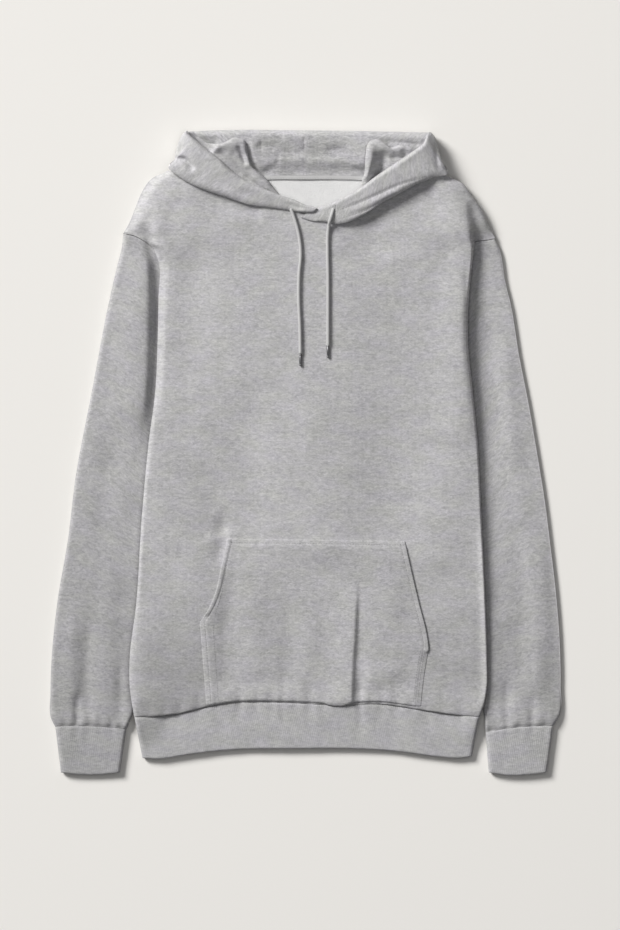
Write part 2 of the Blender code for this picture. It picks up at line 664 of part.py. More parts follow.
def cord_route(string, rest):
    """Centre line of a drawstring, lying on whatever is under it."""
    table = np.asarray(string, float)
    length = np.linalg.norm(np.diff(table, axis=0), axis=1).sum()
    places = path(table)(np.linspace(0.0, 1.0, 2 + int(length / (CORD_STEP * CORD))))
    return np.array([(x, y, rest(x, y, 3.0) + CORD / 2.0 + 1.5 * SEAM) for x, y in places])


def drawstring(name, tip_name, string, rest, cord_surface, tip_surface):
    """Drawstring as a round cord, with its tip beyond it."""
    points = cord_route(string, rest)
    curve = bpy.data.curves.new(name, "CURVE")
    curve.dimensions = "3D"
    curve.bevel_depth = CORD / 2.0 * MM
    curve.bevel_resolution = 2
    curve.use_fill_caps = True
    line = curve.splines.new("POLY")
    line.points.add(len(points) - 1)
    for spot, point in zip(line.points, points):
        spot.co = (*(point * MM), 1.0)
    curve.materials.append(cord_surface)
    bpy.context.collection.objects.link(bpy.data.objects.new(name, curve))

    end, before = points[-1], points[-2]
    along = (end - before) / np.linalg.norm(end - before)
    middle = end + along * (SEAM + TIP_LENGTH / 2.0)
    middle[2] = rest(middle[0], middle[1], 7.0) + TIP / 2.0 + SEAM
    bpy.ops.mesh.primitive_cylinder_add(vertices=16, radius=TIP / 2.0 * MM,
                                        depth=TIP_LENGTH * MM, location=tuple(middle * MM),
                                        rotation=(math.radians(90.0), 0.0, 0.0))
    tip = bpy.context.object
    tip.name = tip_name
    tip.rotation_euler[2] = math.atan2(-along[0], along[1])
    tip.data.shade_smooth()
    tip.data.set_sharp_from_angle(angle=math.radians(50))
    tip.data.materials.append(tip_surface)


def main():
    for existing in list(bpy.data.objects):
        bpy.data.objects.remove(existing)
    grey = (0.44, 0.44, 0.45)
    knit = {name: material(name, grey, 0.95) for name in (
        "body_front_knit", "body_back_knit", "sleeve_right_knit", "sleeve_left_knit",
        "pocket_knit", "hood_right_knit", "hood_left_knit", "hood_back_knit",
        "hood_lining_right_knit", "hood_lining_left_knit", "hood_fold_right_knit",
        "hood_fold_left_knit")}
    rib = {name: material(name, (0.38, 0.38, 0.40), 0.95) for name in (
        "hem_rib", "cuff_right_rib", "cuff_left_rib")}
    front = body_panel("body_front", NECK_FRONT, 1, knit["body_front_knit"])
    body_panel("body_back", NECK_BACK, -1, knit["body_back_knit"])
    sleeve("sleeve_right", SLEEVE_OUT_RIGHT, ARMHOLE_RIGHT, ARM_TUCK_RIGHT, CUFF_SEAM_RIGHT,
           right_edge, -1, knit["sleeve_right_knit"])
    sleeve("sleeve_left", SLEEVE_OUT_LEFT, ARMHOLE_LEFT, ARM_TUCK_LEFT, CUFF_SEAM_LEFT,
           left_edge, 1, knit["sleeve_left_knit"])
    sewn_hem = [(x, y - SEAM) for x, y in HEM_SEAM]
    rib_tube("hem_band", HEM_EDGE, sewn_hem, RIB_LOFT, (BODY_STEPS, BODY_MIDDLE), back_under,
             rib["hem_rib"])
    for side, low, high in (("right", CUFF_EDGE_RIGHT, CUFF_SEAM_RIGHT),
                            ("left", CUFF_EDGE_LEFT, CUFF_SEAM_LEFT)):
        sewn = [(x, y - SEAM) for x, y in high]
        rib_tube("cuff_" + side, low, sewn, CUFF_LOFT, (SLEEVE_STEPS, SLEEVE_MIDDLE),
                 lambda x, y: np.zeros_like(x), rib["cuff_" + side + "_rib"])
    pocket(highest([front]), knit["pocket_knit"])
    hood_back(knit["hood_back_knit"])
    lining("hood_lining_right", LINING_LOW_RIGHT, knit["hood_lining_right_knit"])
    lining("hood_lining_left", LINING_LOW_LEFT, knit["hood_lining_left_knit"])
    lining_fold("hood_fold_right", LINING_FOLD_RIGHT, LINING_TUCK_RIGHT,
                knit["hood_fold_right_knit"])
    lining_fold("hood_fold_left", LINING_FOLD_LEFT, LINING_TUCK_LEFT,
                knit["hood_fold_left_knit"])
    hood_panel("hood_right", HOOD_RIGHT, knit["hood_right_knit"])
    hood = hood_panel("hood_left", HOOD_LEFT, knit["hood_left_knit"])
    neck_tape(material("neck_tape_cotton", (0.62, 0.62, 0.62), 0.9))
    drawstring("drawstring_right", "tip_right", STRING_RIGHT, highest([front]),
               material("drawstring_right_cotton", (0.50, 0.50, 0.51), 0.9),
               material("tip_right_metal", (0.30, 0.30, 0.31), 0.4, 1.0))
    drawstring("drawstring_left", "tip_left", STRING_LEFT, highest([front, hood]),
               material("drawstring_left_cotton", (0.50, 0.50, 0.51), 0.9),
               material("tip_left_metal", (0.30, 0.30, 0.31), 0.4, 1.0))


main()
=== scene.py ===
"""Looks of a pullover hoodie laid flat on its back: fleece, rib, cords and their folds.

Sizes are millimetres in the part's frame: +X to the wearer's left, +Y up to the hood, +Z out
of the front. Meshes, the camera, the lights and the flat sizes of the sheets are in metres.
"""
import math

import bpy
import numpy as np
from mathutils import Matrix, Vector
from mathutils.bvhtree import BVHTree


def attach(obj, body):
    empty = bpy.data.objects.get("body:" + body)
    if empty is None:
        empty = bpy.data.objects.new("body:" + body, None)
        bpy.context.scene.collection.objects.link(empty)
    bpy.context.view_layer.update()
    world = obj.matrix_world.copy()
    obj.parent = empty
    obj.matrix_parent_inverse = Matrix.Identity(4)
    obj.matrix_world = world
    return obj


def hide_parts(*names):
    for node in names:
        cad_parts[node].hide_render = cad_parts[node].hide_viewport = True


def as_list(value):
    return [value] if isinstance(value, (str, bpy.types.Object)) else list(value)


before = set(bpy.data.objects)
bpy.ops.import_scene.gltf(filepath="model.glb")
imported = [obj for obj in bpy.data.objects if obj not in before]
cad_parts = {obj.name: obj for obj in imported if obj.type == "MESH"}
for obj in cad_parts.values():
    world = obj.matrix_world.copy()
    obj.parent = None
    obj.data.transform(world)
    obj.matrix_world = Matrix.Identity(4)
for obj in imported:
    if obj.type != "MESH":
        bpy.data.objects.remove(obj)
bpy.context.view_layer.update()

MM = 0.001

# Cloth: the thickness of each layer
FLEECE = 2.4
SLEEVE_WALL = 2.0
RIB = 3.0
LINING = 2.0
GAP = 0.4  # between two pieces that meet edge to edge
TUCKED = 0.3  # how far an edge starts beyond the seam that it joins

# Lengths from seam to seam or to the edge
BODY_LENGTH = 690.0
SLEEVE_LENGTH = 600.0
SLEEVE_PITCH = 3.2  # between the points of its mesh
POCKET_LENGTH = 206.0
BAND_WIDTH = 55.0

# Body: heights above what lies under it
BODY_LOFT = 7.2
FOLD_LOFT = 8.8  # towards the side folds
FOLD_ROUND = 4.6  # radius of the side folds
HEM_PUFF = 1.0  # just above the hem seam
LOW_SLOPE = 3.0  # rise from the hem seam to the belly
EDGE_RISE = 1.4  # of the left edge beside the arm
EDGE_DROP = 2.2  # of the right edge beside the arm

# Sleeves and bands
TUCK = 5.8  # inner part, flat under the body
TUCK_RIDE = 6.5  # height at which the body lies on it
SLEEVE_EDGE = 3.6  # height of the fold along the outer edge
SLEEVE_INSIDE = 3.0  # height of the fold along the inner edge
SLEEVE_ROUND = 4.5  # radius of the outer fold
INSIDE_ROUND = 3.4  # radius of the inner fold
ARM_SEAM = 10.2  # height of the armhole seam
ARM_LOW = 6.4  # the same in the valley beside the body
RIB_LOFT = 8.0
CUFF_LOFT = 8.6

# Hood
HOOD_STACK = 14.0  # its hidden layers
HOOD_RIDE = 14.4  # height at which the body lies on them
LINING_LOW = 19.4  # least height of lining that the outer panels lie on
LINING_DIP = 2.2  # how far below that the lining is at the neck seam
LINING_STEP = 3.6  # rise above the neck seam
LINING_RISE = 3.4  # further rise to the top roll
LINING_END = 11.0  # height at which the top roll turns down
ROLL = 8.0  # radius of the top roll

# Cord
CORD = 4.4
CORD_STEP = 0.75  # between the rings of its mesh
CORD_SIDES = 24
STRANDS = 4.0
STRAND_LEAN = 1.5
TIP = 3.2
TIP_LENGTH = 15.0
TIP_SIDES = 28

# Creases: points along each, and the shares of its length over which it starts and ends
CREASE_POINTS = 22
CREASE_START = 0.35
CREASE_FADE = 0.14

# Stitching
STITCH_PITCH = 3.3
THREAD = 0.42
STITCH_SINK = 0.1

# Places that several heights start from
HOOD_MIDDLE = 3.0  # x
POCKET_MIDDLE = 10.0  # x
UNDERARM = 264.0  # y
HEM_END = -374.0  # y
RIDGE_AT = 15.0  # how far beyond the body's edge a sleeve's ridge is

# Shares of the way up the body's sides
SIDE_END = 0.80  # where the side seam ends
ARMHOLE_END = 0.86  # where the armhole seam ends
CURL_RUN = 0.012  # over which an edge stops curling down beside the armhole
FRONT_CURL_RUN = 0.022  # the same for the front, at the armhole's lower end
CAP_REACH = 0.25  # share of the body's width that the cap of a shoulder draws out

# View; the floor is in metres
PICTURE_ROWS = 930
MM_PER_ROW = 1.25
AIM = (5.5, -15.6, 8.0)
FLOOR_SIZE = 16.0
FLOOR_GAP = 0.0003

# Outlines in plan: places along each edge and seam
BODY_ROWS = [
    # y, right, left, sleeve_right, sleeve_left
    (-331, -214, 217, -216, 223),
    (-315, -217, 223, -213, 221),
    (-291, -220, 227, -208, 217),
    (-258, -220, 227, -204, 214),
    (-191, -212, 225, -193, 206),
    (-84, -205, 220, -178, 193),
    (14, -196, 215, -160, 176),
    (76, -188, 209, -146, 164),
    (140, -185, 203, -134, 152),
    (191, -184, 204, -134, 148),
    (243, -185, 209, -140, 150),
]
ARMHOLE_RIGHT = [(-191, 256), (-200, 263), (-214, 271), (-228, 274)]
ARMHOLE_LEFT = [(212, 264), (219, 265), (228, 266), (237, 268)]
ARM_START_RIGHT = ARMHOLE_RIGHT[0][0]
ARM_START_LEFT = ARMHOLE_LEFT[0][0]
SHOULDER_RIGHT = [(-228, 274), (-222, 284), (-211, 311), (-205, 325), (-194, 341), (-172, 352)]
SHOULDER_LEFT = [(237, 268), (231, 281), (219, 306), (209, 320), (197, 336), (178, 345)]
NECK_FRONT = [(-172, 352), (-155, 348), (-137, 338), (-96, 323), (-50, 311), (-24, 306),
              (-4, 298), (20, 293), (40, 290), (59, 296), (92, 316), (133, 339), (158, 347),
              (178, 345)]
NECK_BACK = [(-172, 352), (-120, 344), (-50, 341), (0, 340), (50, 341), (120, 343), (178, 345)]
HEM_SEAM = [(-214, -331), (-190, -330), (-157, -326), (-124, -318), (-90, -313), (-30, -313),
            (39, -316), (98, -315), (140, -321), (180, -327), (217, -331)]
HEM_EDGE = [(-204, -382), (-185, -383), (-150, -378), (-111, -373), (0, -370), (50, -370),
            (110, -373), (165, -380), (192, -382), (208, -380)]
SLEEVE_OUT_RIGHT = [(-228, 273), (-229, 262), (-237, 228), (-246, 188), (-267, 78), (-288, -34),
                    (-297, -108), (-310, -185), (-317, -250), (-319, -300), (-318, -333),
                    (-313, -343)]
SLEEVE_OUT_LEFT = [(237, 267), (242, 255), (250, 212), (256, 188), (267, 122), (278, 66),
                   (289, 3), (299, -59), (307, -122), (314, -184), (318, -240), (319, -290),
                   (317, -330), (310, -342)]
ARM_TUCK_RIGHT = [(-182, 249), (-170, 231), (-156, 214), (-140, 205)]
ARM_TUCK_LEFT = [(203, 256), (193, 236), (176, 216), (156, 206)]
CUFF_SEAM_RIGHT = [(-313, -343), (-290, -342), (-255, -343), (-224, -346)]
CUFF_SEAM_LEFT = [(310, -342), (290, -342), (256, -345), (225, -350)]
CUFF_EDGE_RIGHT = [(-306, -400), (-290, -402), (-250, -402), (-232, -400)]
CUFF_EDGE_LEFT = [(302, -400), (285, -402), (248, -403), (229, -400)]
INSIDE_START = -327.0
INSIDE_END = 195.0
# Height of a sleeve: share of the way down, height
SLEEVE_CROWN = [(0.0, 10.0), (0.04, 9.6), (0.12, 8.8), (0.5, 8.0), (0.85, 8.0), (0.96, 8.6),
                (1.0, 8.8)]

POCKET_RIGHT = [(-124, -317), (-128, -263), (-132, -212)]
POCKET_HAND_RIGHT = [(-132, -212), (-123.5, -199), (-112, -172), (-105, -140), (-98, -108)]
POCKET_LEFT = [(144, -318), (148, -281), (154, -245)]
POCKET_HAND_LEFT = [(154, -245), (152, -230), (142, -189), (133, -151), (124, -111)]

HOOD_RIGHT = [
    # low_x, low_y, low_z, open_x, open_y, crest_low, crest_open
    (13, 303.5, 29.0, 13.6, 305.4, 30.4, 30.6),
    (8, 299.5, 27.0, 10, 307, 30.2, 30.4),
    (-6, 300, 25.4, -2, 310, 29.8, 30.2),
    (-21, 302, 22.9, -15, 316, 28.0, 29.4),
    (-51, 306, 22.9, -34, 322, 29.0, 30.0),
    (-75, 310, 22.9, -54, 330, 30.5, 32.0),
    (-98, 318, 22.9, -75, 340, 31.5, 33.2),
    (-122, 326, 22.9, -92, 352, 32.0, 34.2),
    (-142, 334, 22.9, -108, 367, 32.0, 35.2),
    (-158, 344, 24.4, -125, 380, 31.0, 35.8),
    (-171, 355, 22.0, -136, 389, 28.5, 35.4),
    (-164, 364, 8.0, -142, 394, 27.0, 34.0),
    (-162, 377, 6.0, -146, 398, 26.0, 32.0),
    (-158, 389, 6.0, -148, 401, 24.5, 30.0),
    (-154, 397.5, 8.0, -148, 401.4, 21.5, 26.0),
    (-150.5, 400.8, 9.0, -146.6, 401.2, 18.0, 21.0),
]
HOOD_LEFT = [
    (-6, 293, 22.9, 6, 302, 25.5, 26.0),
    (8, 289, 22.9, 20, 307, 26.5, 27.5),
    (24, 288, 23.5, 34, 312, 28.0, 30.0),
    (42, 285, 24.5, 54, 322, 29.4, 31.5),
    (60, 290, 25.2, 72, 333, 30.6, 33.0),
    (80, 301, 25.4, 85, 343, 31.6, 34.5),
    (96, 312, 25.4, 101, 354, 32.0, 35.5),
    (115, 322, 25.4, 116, 364, 32.4, 36.5),
    (137, 334, 25.0, 134, 376, 32.2, 36.5),
    (158, 342, 24.0, 146, 385, 31.0, 35.0),
    (177, 347, 21.0, 149, 390, 25.0, 33.0),
    (174, 357, 8.0, 151, 394, 23.0, 30.5),
    (170, 367, 6.0, 152, 396.5, 22.5, 28.0),
    (166.5, 377, 6.0, 152.5, 398.3, 22.0, 26.0),
    (163.8, 387, 7.0, 153, 399.4, 21.0, 24.5),
    (162, 394, 8.0, 152.6, 400.0, 19.5, 22.5),
    (157.5, 399.6, 9.0, 152, 400.2, 18.0, 20.5),
]
HOOD_TOP = [(-150, 401), (-100, 403), (0, 402.5), (100, 401.2), (157, 399.8)]
LINING_LOW_RIGHT = [(-150, 397), (-141, 385), (-126, 373), (-108, 359), (-90, 347), (-70, 345),
                    (-40, 346), (-2.15, 346)]
LINING_LOW_LEFT = [(-1.85, 346), (40, 346), (70, 345), (88, 343), (104, 348), (118, 358),
                   (134, 370), (147, 382), (156, 393)]
LINING_FOLD_RIGHT = [(-123, 386), (-105, 386), (-88, 393), (-77, 390), (-72, 374),
                     (-67, 359), (-51, 344), (-33, 322)]
LINING_TUCK_RIGHT = [(-131, 378), (-113, 362), (-96, 347), (-78, 334), (-56, 324), (-38, 317)]
LINING_FOLD_LEFT = [(128, 382), (118, 384), (106, 381), (96, 388), (89, 391), (82, 390),
                    (77.5, 385), (75, 374), (74, 360), (73, 348), (69, 335)]
LINING_TUCK_LEFT = [(139, 373), (120, 358), (105, 347), (90, 336), (77, 328)]
HOOD_OUTLINE = [(-141, 393), (-151, 378), (-155, 357), (-149, 330), (-132, 285), (-112, 256),
                (0, 250), (116, 256), (137, 285), (154, 328), (159, 352), (157, 376),
                (148, 388), (100, 393), (0, 396), (-100, 396)]
STRING_RIGHT = [(-18.5, 305), (-16.6, 299.5), (-14, 292), (-9, 274), (-6, 247), (-8, 224),
                (-8.5, 190), (-7, 157), (-6.5, 123)]
STRING_LEFT = [(35, 305), (33, 298), (30, 288), (28, 276), (27.5, 250), (28, 224), (28, 173),
               (28, 133)]

# Creases: height (a trough is negative), half width to the right and to the left of the way
# that the line runs, and the line itself
FRONT_SWELLS = [
    (-2.4, 10, 7, [(-106, -70), (-103, -100), (-109, -140)]),
    (1.8, 45, 55, [(-140, 60), (-138, -120), (-136, -300)]),
    (-3.2, 46, 30, [(-78, 110), (-74, 10), (-78, -150)]),
    (2.6, 42, 52, [(10, 130), (22, 0), (26, -150)]),
    (-1.8, 44, 40, [(112, 90), (112, -20), (108, -130)]),
    (3.4, 44, 30, [(188, 262), (192, 190), (191, 90), (184, 0)]),
    (-5.0, 3.5, 9, [(204, 318), (207.5, 298), (209.5, 280), (210, 258)]),
    (-2.0, 14, 16, [(48, 280), (84, 294), (118, 311), (148, 326), (168, 337)]),
    (-4.4, 26, 56, [(30, 258), (70, 260), (108, 272), (140, 290), (164, 308), (182, 322)]),
    (-2.4, 8, 12, [(-150, 334), (-120, 318), (-84, 305), (-50, 297)]),
    (-1.8, 6, 7, [(-182, 276), (-187, 262), (-189, 250)]),
    (1.6, 46, 30, [(170, 40), (172, -60), (168, -160)]),
    (-1.2, 5, 9, [(-193, 318), (-204, 300), (-195, 281), (-190, 258)]),
    (-2.6, 30, 26, [(-130, 0), (-118, -60), (-106, -110)]),
    (2.6, 20, 46, [(-196, -180), (-202, -270), (-206, -324)]),
    (-4.2, 74, 30, [(200, -60), (214, -240), (220, -324)]),
    (1.2, 26, 14, [(-120, 300), (-160, 250), (-168, 120)]),
    (-0.9, 12, 16, [(60, 284), (110, 262), (150, 225)]),
    (0.8, 14, 14, [(-60, 296), (-100, 282), (-130, 262)]),
    (-0.8, 9, 12, [(-150, 330), (-166, 300), (-170, 262)]),
    (1.0, 12, 24, [(150, 318), (182, 290), (196, 240)]),
]
POCKET_CREASES = [
    (-1.8, 12, 15, [(-90, -116), (-95, -180), (-100, -240), (-98, -306)]),
    (3.4, 24, 2.4, [(64, -150), (61.5, -220), (58.5, -270), (56.5, -326)]),
    (-0.8, 3, 8, [(70, -210), (67, -260), (65, -310)]),
    (2.0, 22, 26, [(86, -170), (84, -240), (82, -300)]),
    (1.6, 26, 18, [(104, -150), (108, -220), (112, -290)]),
    (1.2, 16, 16, [(-66, -150), (-62, -220), (-64, -290)]),
    (-1.0, 10, 12, [(-24, -170), (-22, -240), (-26, -300)]),
    (1.2, 14, 12, [(8, -180), (4, -240), (2, -300)]),
]
# Gathers that run up from the hem seam: place, depth, half width, length
HEM_GATHERS = [
    (-196, 1.4, 6, 30), (-176, 1.0, 5, 22), (-158, 1.8, 6, 34), (-134, 1.6, 6, 32),
    (-112, 1.2, 4, 20), (-82, 2.4, 5, 40), (-60, 1.0, 4, 20), (-43, 1.6, 4.5, 30),
    (-29, 1.6, 4.5, 44), (-12, 1.2, 4, 22), (6, 2.6, 6, 52), (22, 1.4, 4, 24),
    (67, 3.0, 4.5, 60), (82, 1.2, 4, 20), (95, 2.0, 5, 32), (114, 1.8, 5, 36),
    (132, 1.2, 4, 22), (150, 1.7, 6, 32), (172, 1.3, 5, 26), (194, 1.5, 6, 30),
]
BACK_GATHERS = [
    (-180, 1.4, 6, 34), (-150, 1.8, 6, 30), (-118, 1.2, 5, 42), (-90, 1.8, 5, 26),
    (-55, 1.6, 5, 38), (-20, 2.0, 6, 30), (14, 1.4, 5, 24), (52, 1.8, 6, 42),
    (88, 1.4, 5, 28), (126, 1.9, 6, 36), (160, 1.3, 5, 26), (192, 1.5, 6, 32),
]
# Valley between sleeve and body: y, where it ends, how wide its far side is, ridge beyond it
VALLEY_RIGHT = [(-345, -5, 9, 0), (-100, -5, 9, 0), (28, -4, 10, 1.0), (58, -1, 11, 4.4),
                (110, -1, 12, 6.8), (190, -0.5, 12, 6.8), (240, 1, 13, 4.6), (275, 1, 18, 1.0)]
VALLEY_LEFT = [(-345, 12, 24, 0), (-250, 14, 40, 0), (-100, 16, 46, 0), (60, 16, 46, 0),
               (150, 16, 46, 0), (200, 13, 40, 0), (240, 6, 24, 0), (268, 1, 14, 0)]
SLEEVE_CREASES_RIGHT = [
    (-2.2, 10, 8, [(-268, -190), (-272, -250), (-274, -300), (-272, -338)]),
    (1.6, 14, 8, [(-290, -180), (-292, -250), (-290, -320)]),
    (-2.4, 4, 5, [(-285, -296), (-286, -318), (-284, -341)]),
    (1.5, 12, 14, [(-244, -110), (-246, -220), (-250, -330)]),
    (-1.6, 7, 8, [(-232, -250), (-231, -300), (-234, -342)]),
    (1.2, 18, 14, [(-205, 120), (-214, 20), (-232, -90)]),
    (-1.0, 12, 14, [(-236, 60), (-250, -40), (-262, -140)]),
    (0.9, 10, 12, [(-205, 240), (-204, 200), (-208, 150)]),
]
SLEEVE_CREASES_LEFT = [
    (-1.6, 12, 14, [(262, -60), (270, -160), (272, -300)]),
    (1.5, 16, 12, [(292, -90), (296, -200), (292, -320)]),
    (-1.8, 6, 6, [(250, -280), (252, -310), (250, -344)]),
    (-1.6, 6, 5, [(283, -300), (284, -320), (282, -341)]),
    (1.2, 14, 14, [(240, 160), (252, 60), (262, -40)]),
    (-1.2, 10, 12, [(228, 210), (236, 110), (246, 10)]),
    (1.0, 12, 14, [(238, -180), (238, -260), (236, -336)]),
]
CUFF_GATHERS_RIGHT = [(-302, 1.2, 4, 20), (-286, 1.8, 4, 30), (-270, 1.4, 4, 24),
                      (-256, 1.0, 4, 18), (-243, 1.5, 4, 26), (-232, 1.2, 4, 20)]
CUFF_GATHERS_LEFT = [(300, 1.2, 4, 22), (284, 1.6, 4, 28), (268, 1.2, 4, 20),
                     (252, 1.8, 4, 26), (240, 1.2, 4, 22), (231, 1.0, 4, 16)]
LINING_CREASES = [
    (-1.6, 2.4, 2.4, [(92, 388), (118, 387), (146, 384)]),
    (-11.0, 5, 8, [(-152, 405), (-142, 398), (-130, 388), (-114, 375)]),
    (-1.4, 3, 4, [(-66, 384), (-52, 382), (-36, 380)]),
    (1.4, 7, 5, [(-60, 367), (-10, 366), (48, 366), (66, 369)]),
    (-1.2, 2.5, 3, [(-54, 391), (-56, 384), (-54, 377)]),
    (-1.2, 2.5, 3, [(-1, 394), (-3, 386), (0, 378)]),
    (-1.0, 2.2, 2.6, [(-38, 376), (-34, 368), (-36, 360)]),
    (-1.0, 2.2, 2.6, [(-20, 380), (-17, 372), (-14, 366)]),
    (0.9, 5, 6, [(8, 388), (30, 385), (52, 388)]),
    (-0.8, 3, 3, [(24, 376), (36, 378), (50, 376)]),
    (2.6, 3, 26, [(-70, 402), (-66.5, 388), (-65, 376), (-60, 362), (-52, 348)]),
    (4.4, 20, 4, [(80, 396), (76, 380), (74, 366), (72, 352)]),
    (-0.8, 4, 4, [(116, 380), (112, 372), (106, 364)]),
]
FOLD_CREASES_RIGHT = [
    (-4.2, 3.5, 2.6, [(-86, 386), (-81, 376), (-77, 366), (-74, 358)]),
    (1.6, 6, 5, [(-96, 390), (-97, 376), (-90, 362), (-72, 342)]),
    (2.4, 4, 3, [(-77, 390), (-71, 374), (-66, 358), (-52, 344)]),
    (-1.4, 4, 5, [(-104, 369), (-92, 359), (-80, 348), (-66, 338)]),
    (-0.8, 3, 3, [(-106, 384), (-102, 378), (-96, 374)]),
]
FOLD_CREASES_LEFT = [
    (4.6, 5.5, 5, [(84, 391), (82, 374), (80, 357), (73, 338)]),
    (-4.4, 5, 6, [(98, 380), (95, 366), (91, 354), (86, 344)]),
    (0.8, 7, 7, [(113, 381), (108, 372), (104, 362), (98, 352)]),
    (-1.4, 2.2, 2.6, [(121, 380), (122, 373), (121, 366)]),
    (1.6, 4, 5, [(131, 384), (130, 377), (127, 370)]),
]
BAND_CREASES_RIGHT = [
    (-5.0, 5.0, 2.4, [(-186, 362), (-172, 365.6), (-158, 367), (-150, 365.6), (-144, 360),
                      (-138, 350)]),
    (-0.8, 5, 5, [(-60, 318), (-90, 329), (-120, 347)]),
    (0.7, 5, 5, [(-80, 336), (-104, 354), (-126, 372)]),
    (-1.2, 2.2, 3, [(-24, 311), (-16, 308), (-4, 304)]),
]
BAND_CREASES_LEFT = [
    (-1.0, 2.0, 2.0, [(30, 298), (37, 301), (60, 309), (88, 321), (115, 333), (150, 345)]),
    (-1.0, 2.0, 2.0, [(40, 291), (60, 297), (90, 308), (122, 324), (154, 340)]),
    (0.9, 3, 3, [(44, 297), (62, 303), (90, 315), (120, 329)]),
    (-1.4, 2.4, 3, [(161, 392), (162.5, 380), (164, 362), (166, 350)]),
    (1.0, 5, 5, [(171, 378), (172, 366), (170, 354)]),
]


def ease(t):
    """Smooth step from 0 to 1."""
    t = np.clip(t, 0.0, 1.0)
    return t * t * (3.0 - 2.0 * t)


def rising(t, start, over):
    """Smooth step that is 0 up to start and 1 from start + over."""
    return ease((t - start) / over)


def falling(t, end, over):
    """Smooth step that is 1 up to end - over and 0 from end."""
    return ease((end - t) / over)


def dome(t):
    """Quarter circle from 0 to 1: upright at its start, level at its end."""
    t = np.clip(t, 0.0, 1.0)
    return np.sqrt(1.0 - (1.0 - t) ** 2)


def through(at, knots):
    """Smooth function through knots, one row of values for each place in at."""
    slopes = np.gradient(knots, at, axis=0)

    def read(t):
        t = np.clip(np.asarray(t, float), at[0], at[-1])
        k = np.clip(np.searchsorted(at, t, side="right") - 1, 0, len(at) - 2)
        span = (at[k + 1] - at[k])[..., None]
        f = (t - at[k])[..., None] / span
        start = (1 + 2 * f) * (1 - f) ** 2 * knots[k] + f * (1 - f) ** 2 * span * slopes[k]
        end = f * f * (3 - 2 * f) * knots[k + 1] + f * f * (f - 1) * span * slopes[k + 1]
        return start + end

    return read


def run_along(points, axis=0):
    """Distance run along points, from 0 at the first."""
    steps = np.linalg.norm(np.diff(points, axis=axis), axis=-1)
    return np.insert(np.cumsum(steps, axis=axis), 0, 0.0, axis=axis)


def path(points):
    """Smooth curve through points, run by its length from 0 to 1."""
    knots = np.asarray(points, float)
    at = run_along(knots)
    curve = through(at / at[-1], knots)
    return lambda t: curve(np.atleast_1d(t))


def chain(*runs):
    """Join curves end to end; each run is a curve and the share where it ends."""
    def curve(t):
        t = np.atleast_1d(np.asarray(t, float))
        out = np.zeros(t.shape + (2,))
        begin = 0.0
        for run, end in runs:
            here = (t >= begin) & (t <= end)
            out[here] = run((t[here] - begin) / (end - begin))
            begin = end
        return out

    return curve


def column(rows, key, value):
    """Read one column of a table as a smooth function of another."""
    table = np.asarray(rows, float)
    read = through(table[:, key], table[:, value:value + 1])
    return lambda t: read(t)[..., 0]


def patch(low, high, left, right):
    """Fill four edge curves with a grid of places, u from left to right and v upwards."""
    def place(u, v):
        u, v = np.broadcast_arrays(np.asarray(u, float), np.asarray(v, float))
        across, up = u[..., None], v[..., None]
        edges = (1 - up) * low(u) + up * high(u) + (1 - across) * left(v) + across * right(v)
        corners = ((1 - across) * (1 - up) * low(0) + across * (1 - up) * low(1)
                   + (1 - across) * up * high(0) + across * up * high(1))
        return edges - corners

    return place


def lay_out(place, shares, near, pitch):
    """Rows of places across a patch, closer near both side edges.

    Returns the places and their distances from the left and the right edge.
    """
    ends = place(np.array([[0.0, 1.0]]), np.asarray(shares)[:, None] + np.zeros((1, 2)))
    widths = np.linalg.norm(ends[:, 1] - ends[:, 0], axis=1)
    middle = int(max(widths.max() - 2.0 * near[-1], 4.0 * pitch) / pitch)
    across = []
    for width in widths:
        first = np.array(near) / width
        between = np.linspace(first[-1], 1.0 - first[-1], middle + 2)[1:-1]
        across.append(np.concatenate([first, between, 1.0 - first[::-1]]))
    u = np.array(across)
    places = place(u, np.asarray(shares)[:, None] + np.zeros_like(u))
    return places, u * widths[:, None], (1.0 - u) * widths[:, None]


def runs_up(length, near_low, near_high, pitch):
    """Shares of the way up a piece: closer near its lower and its upper end."""
    low = np.array(near_low) / length
    high = 1.0 - np.array(near_high)[::-1] / length
    count = int((high[0] - low[-1]) * length / pitch)
    return np.concatenate([low, np.linspace(low[-1], high[0], count + 2)[1:-1], high])


def speckle(ix, iy, seed):
    """One number from 0 to 1 for each whole place."""
    value = np.sin(ix * 127.1 + iy * 311.7 + seed * 74.7) * 43758.5453
    return value - np.floor(value)


def rumple(x, y, size, seed):
    """Soft irregular bumps from -1 to 1, about size apart."""
    gx, gy = x / size, y / size
    ix, iy = np.floor(gx), np.floor(gy)
    fx, fy = ease(gx - ix), ease(gy - iy)
    low = speckle(ix, iy, seed) * (1 - fx) + speckle(ix + 1, iy, seed) * fx
    high = speckle(ix, iy + 1, seed) * (1 - fx) + speckle(ix + 1, iy + 1, seed) * fx
    return 2.0 * (low * (1 - fy) + high * fy) - 1.0


def uneven(x, y, *layers):
    """Sum of soft bumps, each layer given by its height, its size and its seed."""
    return sum(height * rumple(x, y, size, seed) for height, size, seed in layers)


